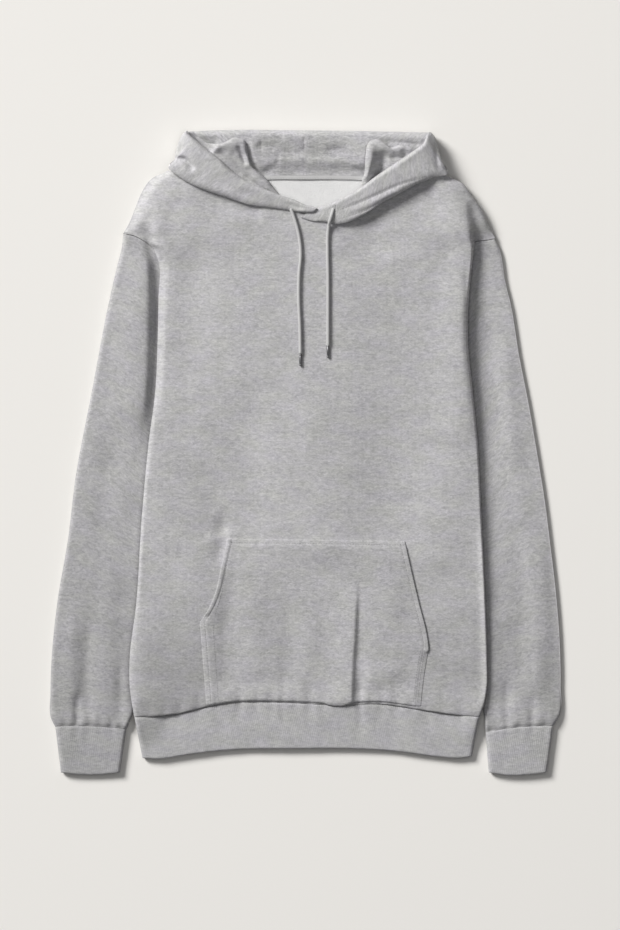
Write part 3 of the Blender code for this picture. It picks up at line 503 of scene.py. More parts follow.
def creases(x, y, table):
    """Height that some creases give at places, each fading towards its two ends."""
    total = np.zeros_like(x)
    for height, right, left, line in table:
        spots = path(line)(np.linspace(0.0, 1.0, CREASE_POINTS))
        reach = 2.4 * max(right, left)
        near = ((x > spots[:, 0].min() - reach) & (x < spots[:, 0].max() + reach)
                & (y > spots[:, 1].min() - reach) & (y < spots[:, 1].max() + reach))
        if not near.any():
            continue
        px, py = x[near], y[near]
        best = np.full(px.shape, 1e9)
        signed, share = np.zeros(px.shape), np.zeros(px.shape)
        count = len(spots) - 1
        for k in range(count):
            run = spots[k + 1] - spots[k]
            ox, oy = px - spots[k, 0], py - spots[k, 1]
            t = np.clip((ox * run[0] + oy * run[1]) / (run @ run), 0.0, 1.0)
            dx, dy = ox - t * run[0], oy - t * run[1]
            far = np.hypot(dx, dy)
            closer = far < best
            best = np.where(closer, far, best)
            side = np.sign(run[0] * dy - run[1] * dx)
            signed = np.where(closer, side * far, signed)
            share = np.where(closer, (k + t) / count, share)
        width = np.where(signed < 0.0, right, left)
        fade = ease(share / CREASE_START) * falling(share, 1.0, CREASE_FADE)
        total[near] += height * np.exp(-(signed / width) ** 2) * fade
    return total


def gathers(x, above, table):
    """Small upright troughs that run up from a seam."""
    total = np.zeros_like(x)
    for place, depth, half, length in table:
        lean = place + 0.1 * above * math.sin(1.7 * place)
        spread = half * (1.0 + 0.5 * np.clip(above / length, 0.0, 1.0))
        rise = np.exp(-((x - lean) / spread) ** 2)
        total -= depth * rise * ease((length - above) / length) * rising(above, -1.0, 3.0)
    return total


right_edge = column(BODY_ROWS, 0, 1)
left_edge = column(BODY_ROWS, 0, 2)
right_sleeve = column(BODY_ROWS, 0, 3)
left_sleeve = column(BODY_ROWS, 0, 4)
right_outline = column([row[:2] for row in BODY_ROWS] + [(y, x) for x, y in SHOULDER_RIGHT],
                       0, 1)
left_outline = column([(row[0], row[2]) for row in BODY_ROWS]
                      + [(y, x) for x, y in SHOULDER_LEFT], 0, 1)
hem_line = column(HEM_SEAM, 0, 1)


def back_under(x, y):
    """Underside of the back: on the surface, on the sleeves' inner edges, on the hood."""
    half = 104.0 + 56.0 * rising(y, 240.0, 80.0)
    over_hood = falling(np.abs(x - HOOD_MIDDLE), half + 38.0, 38.0)
    hood = HOOD_RIDE * rising(y, 170.0, 70.0) * over_hood
    over_right = falling(x, right_sleeve(y) + 46.0, 40.0)
    over_left = rising(x, left_sleeve(y) - 46.0, 40.0)
    beside_arms = falling(y, UNDERARM, 28.0) * rising(y, HEM_END, 42.0)
    return np.maximum(hood, TUCK_RIDE * beside_arms * np.maximum(over_right, over_left))


def across_body(x, y):
    """Half the body's width at a place, and how far the place is from the body's middle."""
    middle = (left_outline(y) + right_outline(y)) / 2.0
    return (left_outline(y) - right_outline(y)) / 2.0, np.abs(x - middle)


def front_under(x, y):
    """What lifts the front: the hood behind the chest and the sleeves' inner edges, eased."""
    half, off = across_body(x, y)
    broad = falling(np.abs(x - HOOD_MIDDLE), 300.0, 260.0)
    rounded = broad + rising(y, 225.0, 60.0) * (dome((half - off) / 58.0) - broad)
    hood = HOOD_RIDE * rising(y, -330.0, 590.0) * rounded
    over_right = falling(x, right_sleeve(y) + 170.0, 170.0)
    over_left = rising(x, left_sleeve(y) - 170.0, 170.0)
    beside_arms = falling(y, 300.0, 60.0) * rising(y, HEM_END, 60.0)
    arms = TUCK_RIDE * beside_arms * np.maximum(over_right, over_left)
    eased = (hood + arms + np.sqrt((hood - arms) ** 2 + 9.0)) / 2.0 - 1.0
    cap_left = rising(x, 207.0, 4.5) * falling(y, 298.0, 36.0) * rising(y, 240.0, 14.0)
    cap_right = falling(x, -186.0, 15.0) * falling(y, 312.0, 50.0) * rising(y, 232.0, 20.0)
    return (np.maximum(eased, back_under(x, y) - 2.0)
            * (1.0 - 0.8 * np.maximum(cap_left, cap_right)))


def front_at(x, y):
    """Outer face of the front with its folds, before its side edges curl down."""
    half, off = across_body(x, y)
    inward = half - off
    above = y - hem_line(x)
    low_left = falling(y, 60.0, 120.0) * (x > 0.0)
    side = rising(off / half, 0.74, 0.2) * (1.0 - 0.9 * low_left)
    puff = HEM_PUFF * dome(above / 6.0) * (1.0 - rising(above, 6.0, 24.0))
    puff = puff + LOW_SLOPE * rising(above, 10.0, 150.0)
    left_cap = rising(x, 206.0, 14.0) * falling(y, 334.0, 50.0) * rising(y, 232.0, 20.0)
    right_dip = (1.0 - rising(inward, 8.0, 66.0)) * (x < 0.0)
    right_dip = right_dip * rising(y, 40.0, 60.0) * falling(y, UNDERARM - 2.0, 30.0)
    left_ridge = rising(x, left_outline(y) - 40.0, 34.0)
    left_ridge = left_ridge * falling(y, 300.0, 40.0) * rising(y, 20.0, 120.0)
    loft = BODY_LOFT + (FOLD_LOFT - BODY_LOFT) * side + puff
    loft = loft * (1.0 - 0.3 * left_cap) - EDGE_DROP * right_dip + EDGE_RISE * left_ridge
    relief = creases(x, y, FRONT_SWELLS)
    relief = relief + uneven(x, y, (0.5, 64.0, 1), (0.3, 27.0, 2), (0.12, 11.0, 3))
    relief = relief * ease(inward / 8.0) * rising(above, -4.0, 12.0)
    curl = 1.9 * (1.0 - dome((above + 0.3) / 2.6))
    gathered = 0.6 * gathers(x, above, HEM_GATHERS)
    return front_under(x, y) + loft + relief + gathered - curl


def seam_height(x, y):
    """Height of the side seam, halfway down the rounded side fold, lower under the right arm."""
    under_arm = rising(y, 30.0, 70.0) * falling(y, UNDERARM, 12.0) * (x < 0.0)
    return back_under(x, y) + FOLD_LOFT / 2.0 - 2.0 * under_arm


def arm_seam(x):
    """Height of the armhole seam, low where it runs into the valley beside the body."""
    beyond = np.where(x < 0.0, ARM_START_RIGHT - x, x - ARM_START_LEFT)
    top = np.where(x < 0.0, ARM_SEAM, ARM_SEAM - 3.0)
    return ARM_LOW + (top - ARM_LOW) * rising(beyond, 1.0, np.where(x < 0.0, 13.0, 9.0))


def from_armhole(x, y):
    """Distance in plan to the nearer armhole seam."""
    nearest = np.full(x.shape, 900.0)
    for line in (ARMHOLE_RIGHT, ARMHOLE_LEFT):
        for (ax, ay), (bx, by) in zip(line[:-1], line[1:]):
            dx, dy = bx - ax, by - ay
            share = np.clip(((x - ax) * dx + (y - ay) * dy) / (dx * dx + dy * dy), 0.0, 1.0)
            nearest = np.minimum(nearest, np.hypot(x - ax - share * dx, y - ay - share * dy))
    return nearest


def side_curves(edge, armhole, shoulder):
    """One side of a body panel, without and with the cap of the shoulder."""
    side = path([(edge(row[0]), row[0]) for row in BODY_ROWS] + [armhole[0]])
    plain = chain((side, SIDE_END), (path([armhole[0], shoulder[-1]]), 1.0))
    whole = chain((side, SIDE_END), (path(armhole), ARMHOLE_END), (path(shoulder), 1.0))
    return plain, whole


def body_patch(neck):
    """Plan of a body panel, its shoulder caps drawn out of a plainer patch."""
    right_plain, right_whole = side_curves(right_edge, ARMHOLE_RIGHT, SHOULDER_RIGHT)
    left_plain, left_whole = side_curves(left_edge, ARMHOLE_LEFT, SHOULDER_LEFT)
    plain = patch(path(HEM_SEAM), path(neck), right_plain, left_plain)

    def place(u, v):
        right_cap = np.clip(1.0 - u / CAP_REACH, 0.0, 1.0)[..., None] ** 2
        left_cap = np.clip(1.0 - (1.0 - u) / CAP_REACH, 0.0, 1.0)[..., None] ** 2
        return (plain(u, v) + right_cap * (right_whole(v) - right_plain(v))
                + left_cap * (left_whole(v) - left_plain(v)))

    return place


def inner_face(outer, wall, ring=False):
    """Points of the inner face, square to the outer one: below it, or above for a wall < 0."""
    if ring:
        across = np.roll(outer, -1, axis=1) - np.roll(outer, 1, axis=1)
    else:
        across = np.gradient(outer, axis=1)
    along = np.gradient(outer, axis=0)
    normal = np.cross(across, along)
    normal /= np.maximum(np.linalg.norm(normal, axis=2, keepdims=True), 1e-9)
    if not ring and normal[..., 2].mean() < 0.0:
        normal = -normal
    return outer - np.broadcast_to(wall, outer.shape[:2])[..., None] * normal


def grid_faces(rows, count, closed=True):
    """Faces of a grid of points, each one's row and place, the rows closed to rings or not."""
    across = count if closed else count - 1
    r, k = np.meshgrid(np.arange(rows - 1), np.arange(across), indexing="ij")
    nxt = (k + 1) % count
    quads = np.stack([r * count + k, r * count + nxt, (r + 1) * count + nxt,
                      (r + 1) * count + k], axis=-1)
    return quads.reshape(-1, 4), r, k


def face_map(uv, r, k):
    """Places on the cut of the corners of grid faces."""
    spots = np.stack([uv[r, k], uv[r, k + 1], uv[r + 1, k + 1], uv[r + 1, k]], axis=-2)
    return spots.reshape(-1, 4, 2)


def end_caps(rows, count):
    """Faces that close the first and the last ring of a grid."""
    last = (rows - 1) * count
    return [list(range(count))[::-1], list(range(last, last + count))]


def add_wall(name, outer, inner, uv, outside, inside, ring=False):
    """Closed wall of cloth between an outer and an inner face, with its cut as a map.

    uv holds the place of every point on the flat cut; a ring has one more column there.
    """
    rows, count = outer.shape[:2]
    size = rows * count
    quads, r, k = grid_faces(rows, count, ring)
    spots = face_map(uv, r, k)
    faces = [quads, quads[:, ::-1] + size]
    maps = [spots, spots[:, ::-1]]
    finish = [np.zeros(len(quads), int), np.ones(len(quads), int)]
    ids = np.arange(size).reshape(rows, count)
    if ring:
        closed = np.concatenate([ids, ids[:, :1]], axis=1)
        rims = [(closed[0], uv[0]), (closed[-1, ::-1], uv[-1, ::-1])]
    else:
        loop = np.concatenate([ids[0], ids[1:, -1], ids[-1, -2::-1], ids[-2::-1, 0]])
        edge = np.concatenate([uv[0], uv[1:, -1], uv[-1, -2::-1], uv[-2::-1, 0]])
        rims = [(loop, edge)]
    for loop, edge in rims:
        a, b = loop[:-1], loop[1:]
        faces.append(np.stack([b, a, a + size, b + size], axis=1))
        maps.append(np.stack([edge[1:], edge[:-1], edge[:-1], edge[1:]], axis=1))
        finish.append(np.zeros(len(a), int))
    faces, maps, finish = np.concatenate(faces), np.concatenate(maps), np.concatenate(finish)
    points = np.concatenate([outer.reshape(-1, 3), inner.reshape(-1, 3)]) * MM
    return add_mesh(name, points, faces, maps * MM, (outside, inside), finish)


def add_mesh(name, points, faces, maps, materials, finish=None, caps=()):
    """One smooth-shaded object from points in metres, its faces turned outwards."""
    caps = list(caps)
    corner = points[faces]
    fan = np.cross(corner[:, 1], corner[:, 2]) + np.cross(corner[:, 2], corner[:, -1])
    if (corner[:, 0] * fan).sum() < 0.0:
        faces, maps = faces[:, ::-1], maps[:, ::-1]
        caps = [cap[::-1] for cap in caps]
    mesh = bpy.data.meshes.new(name)
    mesh.from_pydata(points.tolist(), [], faces.tolist() + caps)
    layer = mesh.uv_layers.new(name="Cut")
    flat = [points[cap, :2].ravel() for cap in caps]
    spots = np.concatenate([maps.ravel()] + flat)
    layer.data.foreach_set("uv", np.ascontiguousarray(spots, dtype=np.float32))
    for surface in materials:
        mesh.materials.append(surface)
    if finish is not None:
        mesh.polygons.foreach_set("material_index", np.asarray(finish, dtype=np.int32))
    mesh.shade_smooth()
    mesh.set_sharp_from_angle(angle=math.radians(62))
    mesh.update()
    made = bpy.data.objects.new(name, mesh)
    bpy.context.collection.objects.link(made)
    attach(made, "root")
    return made


def lift(places, heights):
    """Join places in plan with their heights."""
    return np.concatenate([places, heights[..., None]], axis=2)


def body_curl(shares, side):
    """How far the side edges curl over: not along the armhole, where a sleeve joins on."""
    above = rising(shares, ARMHOLE_END, CURL_RUN)
    if side > 0:
        return np.where(shares > ARMHOLE_END, above,
                        falling(shares, SIDE_END + FRONT_CURL_RUN, FRONT_CURL_RUN))
    return np.maximum(above, falling(shares, SIDE_END, CURL_RUN))


def front_joined(x, y, flat):
    """How far the front comes down to the armhole seams."""
    past_arm = np.where(x < 0.0, ARM_START_RIGHT + 3.0 - x, x - (ARM_START_LEFT - 3.0))
    return ((0.3 + flat - arm_seam(x)) * (1.0 - ease(from_armhole(x, y) / 22.0))
            * ease(past_arm / 9.0))


def body_panel(name, neck, outside, inside, side, pitch):
    """Front (side 1) or back (side -1) of the body."""
    near = [0.0, 0.25, 0.7, 1.3, 2.1, 3.2, 4.6, 6.5, 9.0, 12.0]
    shares = runs_up(BODY_LENGTH, [0.0, 0.5, 1.2, 2.2, 3.4, 5.0, 7.0, 9.5], [0.0, 1.5, 4.0],
                     pitch)
    places, from_left, from_right = lay_out(body_patch(neck), shares, near, pitch)
    x, y = places[..., 0], places[..., 1]
    inward = np.minimum(from_left, from_right)
    falls = 1.0 - dome(inward / (FOLD_ROUND - 2.0 * (x > 0.0)))
    if side > 0:
        flat = front_at(x, y)
        joined = front_joined(x, y, flat)
        falls += rising(y, 30.0, 70.0) * (x < 0.0) * (1.0 - rising(inward, -1.5, 11.0) - falls)
    else:
        above = y - hem_line(x)
        flat = back_under(x, y) - gathers(x, above, BACK_GATHERS) * rising(above, 6.0, 8.0)
        in_armhole = (shares >= SIDE_END) & (shares <= ARMHOLE_END)
        joined = 1.3 * (1.0 - dome(inward / 4.5)) * in_armhole[:, None]
    heights = flat - side * joined
    seam = seam_height(x, y) + side * GAP / 2.0
    heights = heights + body_curl(shares, side)[:, None] * falls * (seam - heights)
    outer = lift(places, heights)
    return add_wall(name, outer, inner_face(outer, side * FLEECE), places, outside, inside)


def tube(name, place, shares, near, pitch, tops, wall, outside, inside, lips=()):
    """Flattened tube of cloth: tops gives the upper and the lower face.

    lips gives, for each row, how round its rim is, from 0 inside the tube to 1 at the edge.
    """
    places, from_out, from_in = lay_out(place, shares, near, pitch)
    upper, lower = tops(places, from_out, from_in)
    lips = np.zeros(len(shares)) if len(lips) == 0 else np.asarray(lips)
    thick = np.maximum(upper - lower, 0.4)
    soft = np.minimum(0.45 * wall, 0.3 * thick) * lips[:, None]
    upper, lower = upper - soft, lower + soft
    ring = np.concatenate([places, places[:, -2:0:-1]], axis=1)
    heights = np.concatenate([upper, lower[:, -2:0:-1]], axis=1)
    local = np.concatenate([thick, thick[:, -2:0:-1]], axis=1)
    depth = np.minimum(wall, 0.4 * local + 0.1) * (1.0 - 0.7 * lips[:, None])
    outer = lift(ring, heights)
    inner = inner_face(outer, depth, ring=True)
    middle = outer.mean(axis=1, keepdims=True)
    growth = np.linalg.norm(inner - middle, axis=2) - np.linalg.norm(outer - middle, axis=2)
    if (growth > 0.0).mean() > 0.5:
        inner = 2.0 * outer - inner
    closed = np.concatenate([outer, outer[:, :1]], axis=1)
    around = run_along(closed, axis=1)
    up = run_along(places.mean(axis=1))
    uv = np.stack([around, np.repeat(up[:, None], around.shape[1], axis=1)], axis=-1)
    return add_wall(name, outer, inner, uv, outside, inside, ring=True)


def sleeve(name, out, armhole, tuck, cuff, edge, folds, cuff_gathers, valley, outside, inside,
           mirror, bank):
    """Sleeve from the armhole seam to the cuff, its inner part flat under the body.

    mirror is -1 for the right one and 1 for the left one; bank is how far it rises beside the
    body.
    """
    inner_column = 3 if mirror < 0 else 4
    inner = [(row[inner_column], max(row[0], INSIDE_START)) for row in BODY_ROWS
             if row[0] < INSIDE_END]
    inner = path([cuff[-1]] + inner + [tuck[-1]])
    outer = path([cuff[0]] + out[-2::-1])
    high = path([(x, y + TUCKED) for x, y in armhole[::-1]] + tuck)
    place = patch(path(cuff), high, outer, inner)
    crown = column(SLEEVE_CROWN, 0, 1)
    valley_start, valley_reach, ridge = (column(valley, 0, k) for k in (1, 2, 3))
    seam_line = column(sorted(cuff), 0, 1)
    shares = runs_up(SLEEVE_LENGTH, [0.0, 0.5, 1.2, 2.2, 3.6, 5.4, 8.0],
                     [0.0, 0.7, 1.6, 3.2, 5.5], SLEEVE_PITCH)
    round_edge = SLEEVE_ROUND - 1.5 * (mirror > 0)

    def height_at(x, y, beyond, above, from_out):
        full = crown(1.0 - shares)[:, None] * (0.9 + 0.1 * ease(from_out / 34.0))
        flatter = 0.6 + 0.24 * ease(from_out / 36.0) if mirror > 0 else 1.0
        near_cuff = 1.0 - ease(above / 50.0)
        full = full * (flatter + (1.0 - flatter) * near_cuff)
        spread = np.where(beyond < RIDGE_AT, 8.5, 42.0)
        full = full + ridge(y) * np.exp(-((beyond - RIDGE_AT) / spread) ** 2)
        sunk = TUCK - 0.8 - 0.6 * rising(beyond, 2.0, 12.0)
        height = sunk + (full - sunk) * rising(beyond, valley_start(y), valley_reach(y))
        beside = rising(beyond, -0.5, 2.0) * np.exp(-np.maximum(beyond, 0.0) / 13.0)
        height = height + bank * beside * falling(y, UNDERARM - 2.0, 30.0)
        return height + (arm_seam(x) - height) * (1.0 - ease(from_armhole(x, y) / 24.0))

    def tops(places, from_out, from_in):
        x, y = places[..., 0], places[..., 1]
        beyond = mirror * (x - edge(y))
        above = y - seam_line(x)
        below = (1.0 - shares)[:, None] * SLEEVE_LENGTH
        height = height_at(x, y, beyond, above, from_out)
        rim = SLEEVE_INSIDE + (SLEEVE_EDGE - SLEEVE_INSIDE) * ease(from_in / 30.0)
        inside_round = dome(from_in / INSIDE_ROUND)
        upper = rim + (height - rim) * dome(from_out / round_edge) * inside_round
        lower = rim * (1.0 - dome(from_out / (1.25 * SLEEVE_EDGE)) * inside_round)
        relief = creases(x, y, folds) + gathers(x, above, cuff_gathers)
        relief = relief + uneven(x, y, (0.5, 52.0, 5), (0.3, 22.0, 6), (0.1, 10.0, 7))
        shown = rising(beyond, 2.0, 10.0) * ease(from_out / 12.0)
        puff = 1.6 * ease(above / 6.0) * (1.0 - rising(above, 8.0, 30.0))
        seams = 1.3 * (1.0 - dome(above / 4.0)) + 0.4 * (1.0 - dome(below / 2.0))
        upper = upper + (relief + puff) * shown * ease(below / 12.0) - seams * (upper > 6.0)
        return np.maximum(upper, lower + 1.2), lower

    near = [0.0, 0.3, 0.9, 1.8, 3.2, 5.0, 7.4, 10.4]
    return tube(name, place, shares, near, SLEEVE_PITCH, tops, SLEEVE_WALL, outside, inside)


def level(x, y):
    """Underside of a cuff, which lies on the surface itself."""
    return np.zeros_like(x)


def rib_tube(name, low, high, base, gather_table, outside, loft, seed):
    """Cuff or hem band: a flattened tube of rib with rounded side folds."""
    place = patch(path(low), path([(x, y + TUCKED) for x, y in high]),
                  path([low[0], (high[0][0], high[0][1] + TUCKED)]),
                  path([low[-1], (high[-1][0], high[-1][1] + TUCKED)]))
    half = loft / 2.0
    shares = runs_up(BAND_WIDTH, [0.0, 0.35, 0.9, 1.7, 2.8, 4.4], [0.0, 0.6, 1.4, 2.6, 4.2], 2.4)
    lips = 1.0 - dome(shares * BAND_WIDTH / 2.2)

    def tops(places, from_out, from_in):
        x, y = places[..., 0], places[..., 1]
        below = (1.0 - shares)[:, None] * BAND_WIDTH
        middle = base(x, y) + half
        bulge = half * dome(from_out / half) * dome(from_in / half)
        waves = 0.6 * rumple(x, y * 0.4, 34.0, seed) + 0.35 * rumple(x, y * 0.5, 13.0, seed + 1)
        pulls = 0.5 * gathers(x, below, gather_table)
        fade = ease(np.minimum(from_out, from_in) / 10.0)
        seam = 1.8 * (1.0 - dome(below / 3.0))
        return middle + bulge + (waves + pulls) * fade - seam, middle - bulge

    near = [0.0, 0.4, 1.0, 2.0, 3.4, 5.4]
    return tube(name, place, shares, near, 2.6, tops, RIB, outside, outside, lips)


pocket_left = chain((path(POCKET_RIGHT), 0.5), (path(POCKET_HAND_RIGHT), 1.0))
pocket_right = chain((path(POCKET_LEFT), 0.4), (path(POCKET_HAND_LEFT), 1.0))


def pocket_patch():
    """Plan of the pocket: hem seam below, straight top, hand openings at the sides."""
    low = path([(x, pocket_low(x)) for x in np.linspace(-124.0, 144.0, 68)])
    high = path([(-98, -108), (10, -109), (124, -111)])
    return patch(low, high, pocket_left, pocket_right)


def pocket_low(x):
    """Lower edge of the pocket: in the hem seam, its big fold hanging over the band."""
    return hem_line(x) + 0.5 - 3.4 * np.exp(-((x - 40.0) / 15.0) ** 4)


def pocket_height(x, y):
    """Underside of the pocket: on the front, standing off it along its folds."""
    inside = np.maximum(y, hem_line(x) + 1.2)
    above = y - hem_line(x)
    folds = creases(x, inside, POCKET_CREASES) * rising(above, -9.0, 6.0)
    return front_at(x, inside) + folds


def pocket(outside, inside):
    """Kangaroo pocket with turned and stitched edges at its hand openings."""
    shares = runs_up(POCKET_LENGTH, [0.0, 0.4, 1.0, 1.8, 3.0, 4.4],
                     [0.0, 0.4, 1.0, 2.0, 3.0, 4.0, 5.0, 6.0, 7.5], 2.0)
    near = [0.0, 0.3, 0.8, 1.6, 2.8, 4.2, 5.2, 6.0, 6.8, 8.0, 10.0]
    places, from_left, from_right = lay_out(pocket_patch(), shares, near, 2.0)
    x, y = places[..., 0], places[..., 1]
    inward = np.minimum(from_left, from_right)
    below = (1.0 - shares)[:, None] * POCKET_LENGTH
    above = shares[:, None] * POCKET_LENGTH
    on_right = x < POCKET_MIDDLE
    opening = np.where(on_right, rising(y, -209.0, 12.0), rising(y, -256.0, 14.0))
    hemmed = opening * on_right
    turned = 0.7 * hemmed * np.exp(-((inward - 3.0) / 3.2) ** 2)
    groove = (0.3 + 0.15 * hemmed) * np.exp(-((inward - 6.2) / 0.9) ** 2)
    top = 0.2 * np.exp(-((below - 1.6) / 1.6) ** 2) - 0.2 * np.exp(-((below - 4.4) / 0.8) ** 2)
    sewn = np.minimum(np.where(opening > 0.5, 30.0, inward), below)
    stand = -0.9 + 1.4 * ease(sewn / 9.0) + 0.4 * opening
    edge = 0.8 * (1.0 - dome((inward + 0.1) / 1.2)) + 0.4 * (1.0 - dome((below + 0.1) / 1.4))
    lip = 2.2 * (1.0 - dome((above + 0.2) / 3.4))
    bottom = pocket_height(x, y) + stand
    upper = bottom + 1.5 + turned - groove + top - edge - lip
    outer, inner = lift(places, upper), lift(places, np.minimum(bottom, upper - 0.4))
    return add_wall("pocket_panel", outer, inner, places, outside, inside)


def lining_top(x, y):
    """Upper face of the hood's lining: out of the neck seam, over the top roll."""
    rise = LINING_STEP * rising(y, 347.0, 19.0) + LINING_RISE * rising(y, 366.0, 28.0)
    flat = LINING_LOW - LINING_DIP + rise
    return (flat + creases(x, y, LINING_CREASES)
            + uneven(x, y, (0.5, 18.0, 11), (0.35, 8.0, 12)))


def lining(name, low, outside):
    """Side panel of the lining, from the neck seam over the top roll and down behind it."""
    count = 78
    xs = np.linspace(low[0][0], low[-1][0], count)
    neck, top = column(low, 0, 1), column(HOOD_TOP, 0, 1)
    start, end = neck(xs)[:, None], top(xs)[:, None]
    roll = np.minimum(ROLL, 0.6 * (end - start))
    flat = start + (end - roll - start) * np.linspace(0.0, 1.0, 22)[None, :]
    over = end - roll * (1.0 - np.array([0.12, 0.25, 0.38, 0.5, 0.62, 0.73, 0.83, 0.91, 0.97,
                                         1.0]))[None, :]
    y = np.concatenate([flat, over], axis=1)
    x = np.repeat(xs[:, None], y.shape[1], axis=1)
    beyond = dome((end - y) / roll)
    heights = LINING_END + (lining_top(x, y) - LINING_END) * beyond
    places = np.stack([x, y], axis=2)
    outer = lift(places, heights)
    down = [outer[:, -1:] - np.array([0.0, back, drop])
            for drop, back in ((2.5, 0.0), (5.0, 0.6), (7.0, 1.8))]
    outer = np.concatenate([outer] + down, axis=1)
    inner = inner_face(outer, LINING)
    uv = np.stack([outer[..., 0], run_along(outer, axis=1)], axis=-1)
    return add_wall(name, outer, inner, uv, outside, outside)


def lining_fold(name, shown, tucked, folds, outside):
    """Fold of the lining lying on the lining, rounded at the edge that shows."""
    place = patch(path([tucked[0], shown[0]]), path([tucked[-1], shown[-1]]),
                  path(tucked), path(shown))
    shares = np.linspace(0.0, 1.0, 64)
    across = np.concatenate([np.linspace(0.0, 0.86, 22), [0.9, 0.935, 0.96, 0.98, 0.992, 1.0]])
    u = np.repeat(across[None, :], len(shares), axis=0)
    v = np.repeat(shares[:, None], len(across), axis=1)
    places = place(u, v)
    x, y = places[..., 0], places[..., 1]
    ends = ease(v / 0.12) * falling(v, 1.0, 0.2)
    bump = 4.5 * np.sin(math.pi * np.clip((u - 0.35) / 0.72, 0.0, 1.0)) * ends
    relief = creases(x, y, folds) * falling(u, 1.0, 0.08)
    relief = relief + uneven(x, y, (0.4, 12.0, 15), (0.25, 6.0, 16))
    bottom = lining_top(x, y) + 0.8
    rounded = 1.0 - dome((1.0 - u) / 0.16)
    upper = bottom + LINING + (bump + relief + 1.5) * (1.0 - 0.8 * rounded) - 1.2 * rounded
    outer = lift(places, upper)
    inner = lift(places, np.minimum(bottom, upper - 0.5))
    return add_wall(name, outer, inner, places, outside, outside)


def hood_panel(name, stations, folds, outside, inside, seed):
    """Outer side panel of the hood: a soft rolled band from the neck seam to the opening."""
    table = np.asarray(stations, float)
    read = through(np.linspace(0.0, 1.0, len(table)), table)
    rows = read(np.linspace(0.0, 1.0, 130))
    low_x, low_y, low_z, open_x, open_y, crest_low, crest_open = (
        rows[:, k:k + 1] for k in range(7))
    width = np.hypot(open_x - low_x, open_y - low_y)
    small = np.clip(width / 26.0, 0.2, 1.0)
    across = np.concatenate([[0.0, 0.01, 0.025, 0.05, 0.08, 0.12], np.linspace(0.16, 0.86, 22),
                             [0.9, 0.93, 0.955, 0.975, 0.99, 1.0]])[None, :]
    across = np.repeat(across, len(rows), axis=0)
    crest = crest_low + across * (crest_open - crest_low)
    inside_z = np.maximum(lining_top(open_x, open_y), LINING_LOW) + LINING + 2.4
    inside_z = np.minimum(inside_z, crest_open - 3.5)
    foot = low_z + 3.2 * small
    share = np.linspace(0.0, 1.0, len(rows))[:, None]
    round_off = np.minimum(9.0 - 5.0 * rising(share, 0.74, 0.1), 0.4 * width)
    rise = dome(across * width / round_off)
    drop = dome((1.0 - across) * width / np.minimum(6.0, 0.3 * width))
    x = low_x + across * (open_x - low_x)
    y = low_y + across * (open_y - low_y)
    fade = ease(across / 0.1) * falling(across, 1.0, 0.08)
    relief = creases(x, y, folds)
    relief = relief + small * uneven(x, y, (0.7, 24.0, seed), (0.4, 10.0, seed + 1))
    heights = foot + (crest - foot) * rise - (crest - inside_z) * (1.0 - drop) + relief * fade

    def beside(share, level):
        return np.concatenate([low_x + share * (open_x - low_x),
                               low_y + share * (open_y - low_y), level], axis=1)

    before = [beside(inset * small / width, low_z + height * small)
              for inset, height in ((3.0, 0.0), (1.4, 0.5), (0.4, 1.6))]
    after = [beside(1.0 - inset * small / width, inside_z - height * small)
             for inset, height in ((0.5, 1.2), (2.4, 1.9))]
    outer = np.stack([x, y, heights], axis=2)
    outer = np.concatenate([np.stack(before, axis=1), outer, np.stack(after, axis=1)], axis=1)
    inner = inner_face(outer, 1.4 * small)
    over = run_along(outer, axis=1)
    mid = 12
    run = run_along(np.column_stack([x[:, mid], y[:, mid]]))
    uv = np.stack([over, np.repeat(run[:, None], over.shape[1], axis=1)], axis=-1)
    return add_wall(name, outer, inner, uv, outside, inside)


def hood_stack(outside):
    """Hidden layers of the hood as one rounded stack, grooved between its layers."""
    outline = path(HOOD_OUTLINE + HOOD_OUTLINE[:1])(np.linspace(0.0, 1.0, 221))[:-1]
    centre = np.array([2.0, 325.0])
    reach = np.linalg.norm(outline - centre, axis=1)[:, None]
    layers = 3
    rims = [(0.0, 1.0, 3.0)]
    step = HOOD_STACK / layers
    for layer in range(layers):
        low = layer * step
        for share, inset in ((0.0, 2.6), (0.1, 1.1), (0.25, 0.3), (0.5, 0.0), (0.75, 0.3),
                             (0.9, 1.1)):
            rims.append((low + share * step + 0.02, 1.0, inset + 0.5 * (layer == 1)))
    rims += [(HOOD_STACK - 0.2, 1.0, 2.8), (HOOD_STACK, 0.95, 0.0), (HOOD_STACK, 0.8, 0.0),
             (HOOD_STACK, 0.6, 0.0), (HOOD_STACK, 0.3, 0.0), (HOOD_STACK, 0.02, 0.0)]
    rows = []
    for z, share, inset in rims:
        places = centre + (outline - centre) * (share - inset / reach)
        rows.append(np.column_stack([places, np.full(len(places), z)]))
    outer = np.array(rows)
    count = outer.shape[1]
    closed = np.concatenate([outer, outer[:, :1]], axis=1)
    around = run_along(closed[4])
    high = run_along(outer).mean(axis=1)
    uv = np.stack([np.repeat(around[None, :], len(rims), axis=0),
                   np.repeat(high[:, None], count + 1, axis=1)], axis=-1)
    quads, r, k = grid_faces(len(rims), count)
    return add_mesh("hood_stack", outer.reshape(-1, 3) * MM, quads, face_map(uv, r, k) * MM,
                    (outside,), caps=end_caps(len(rims), count))


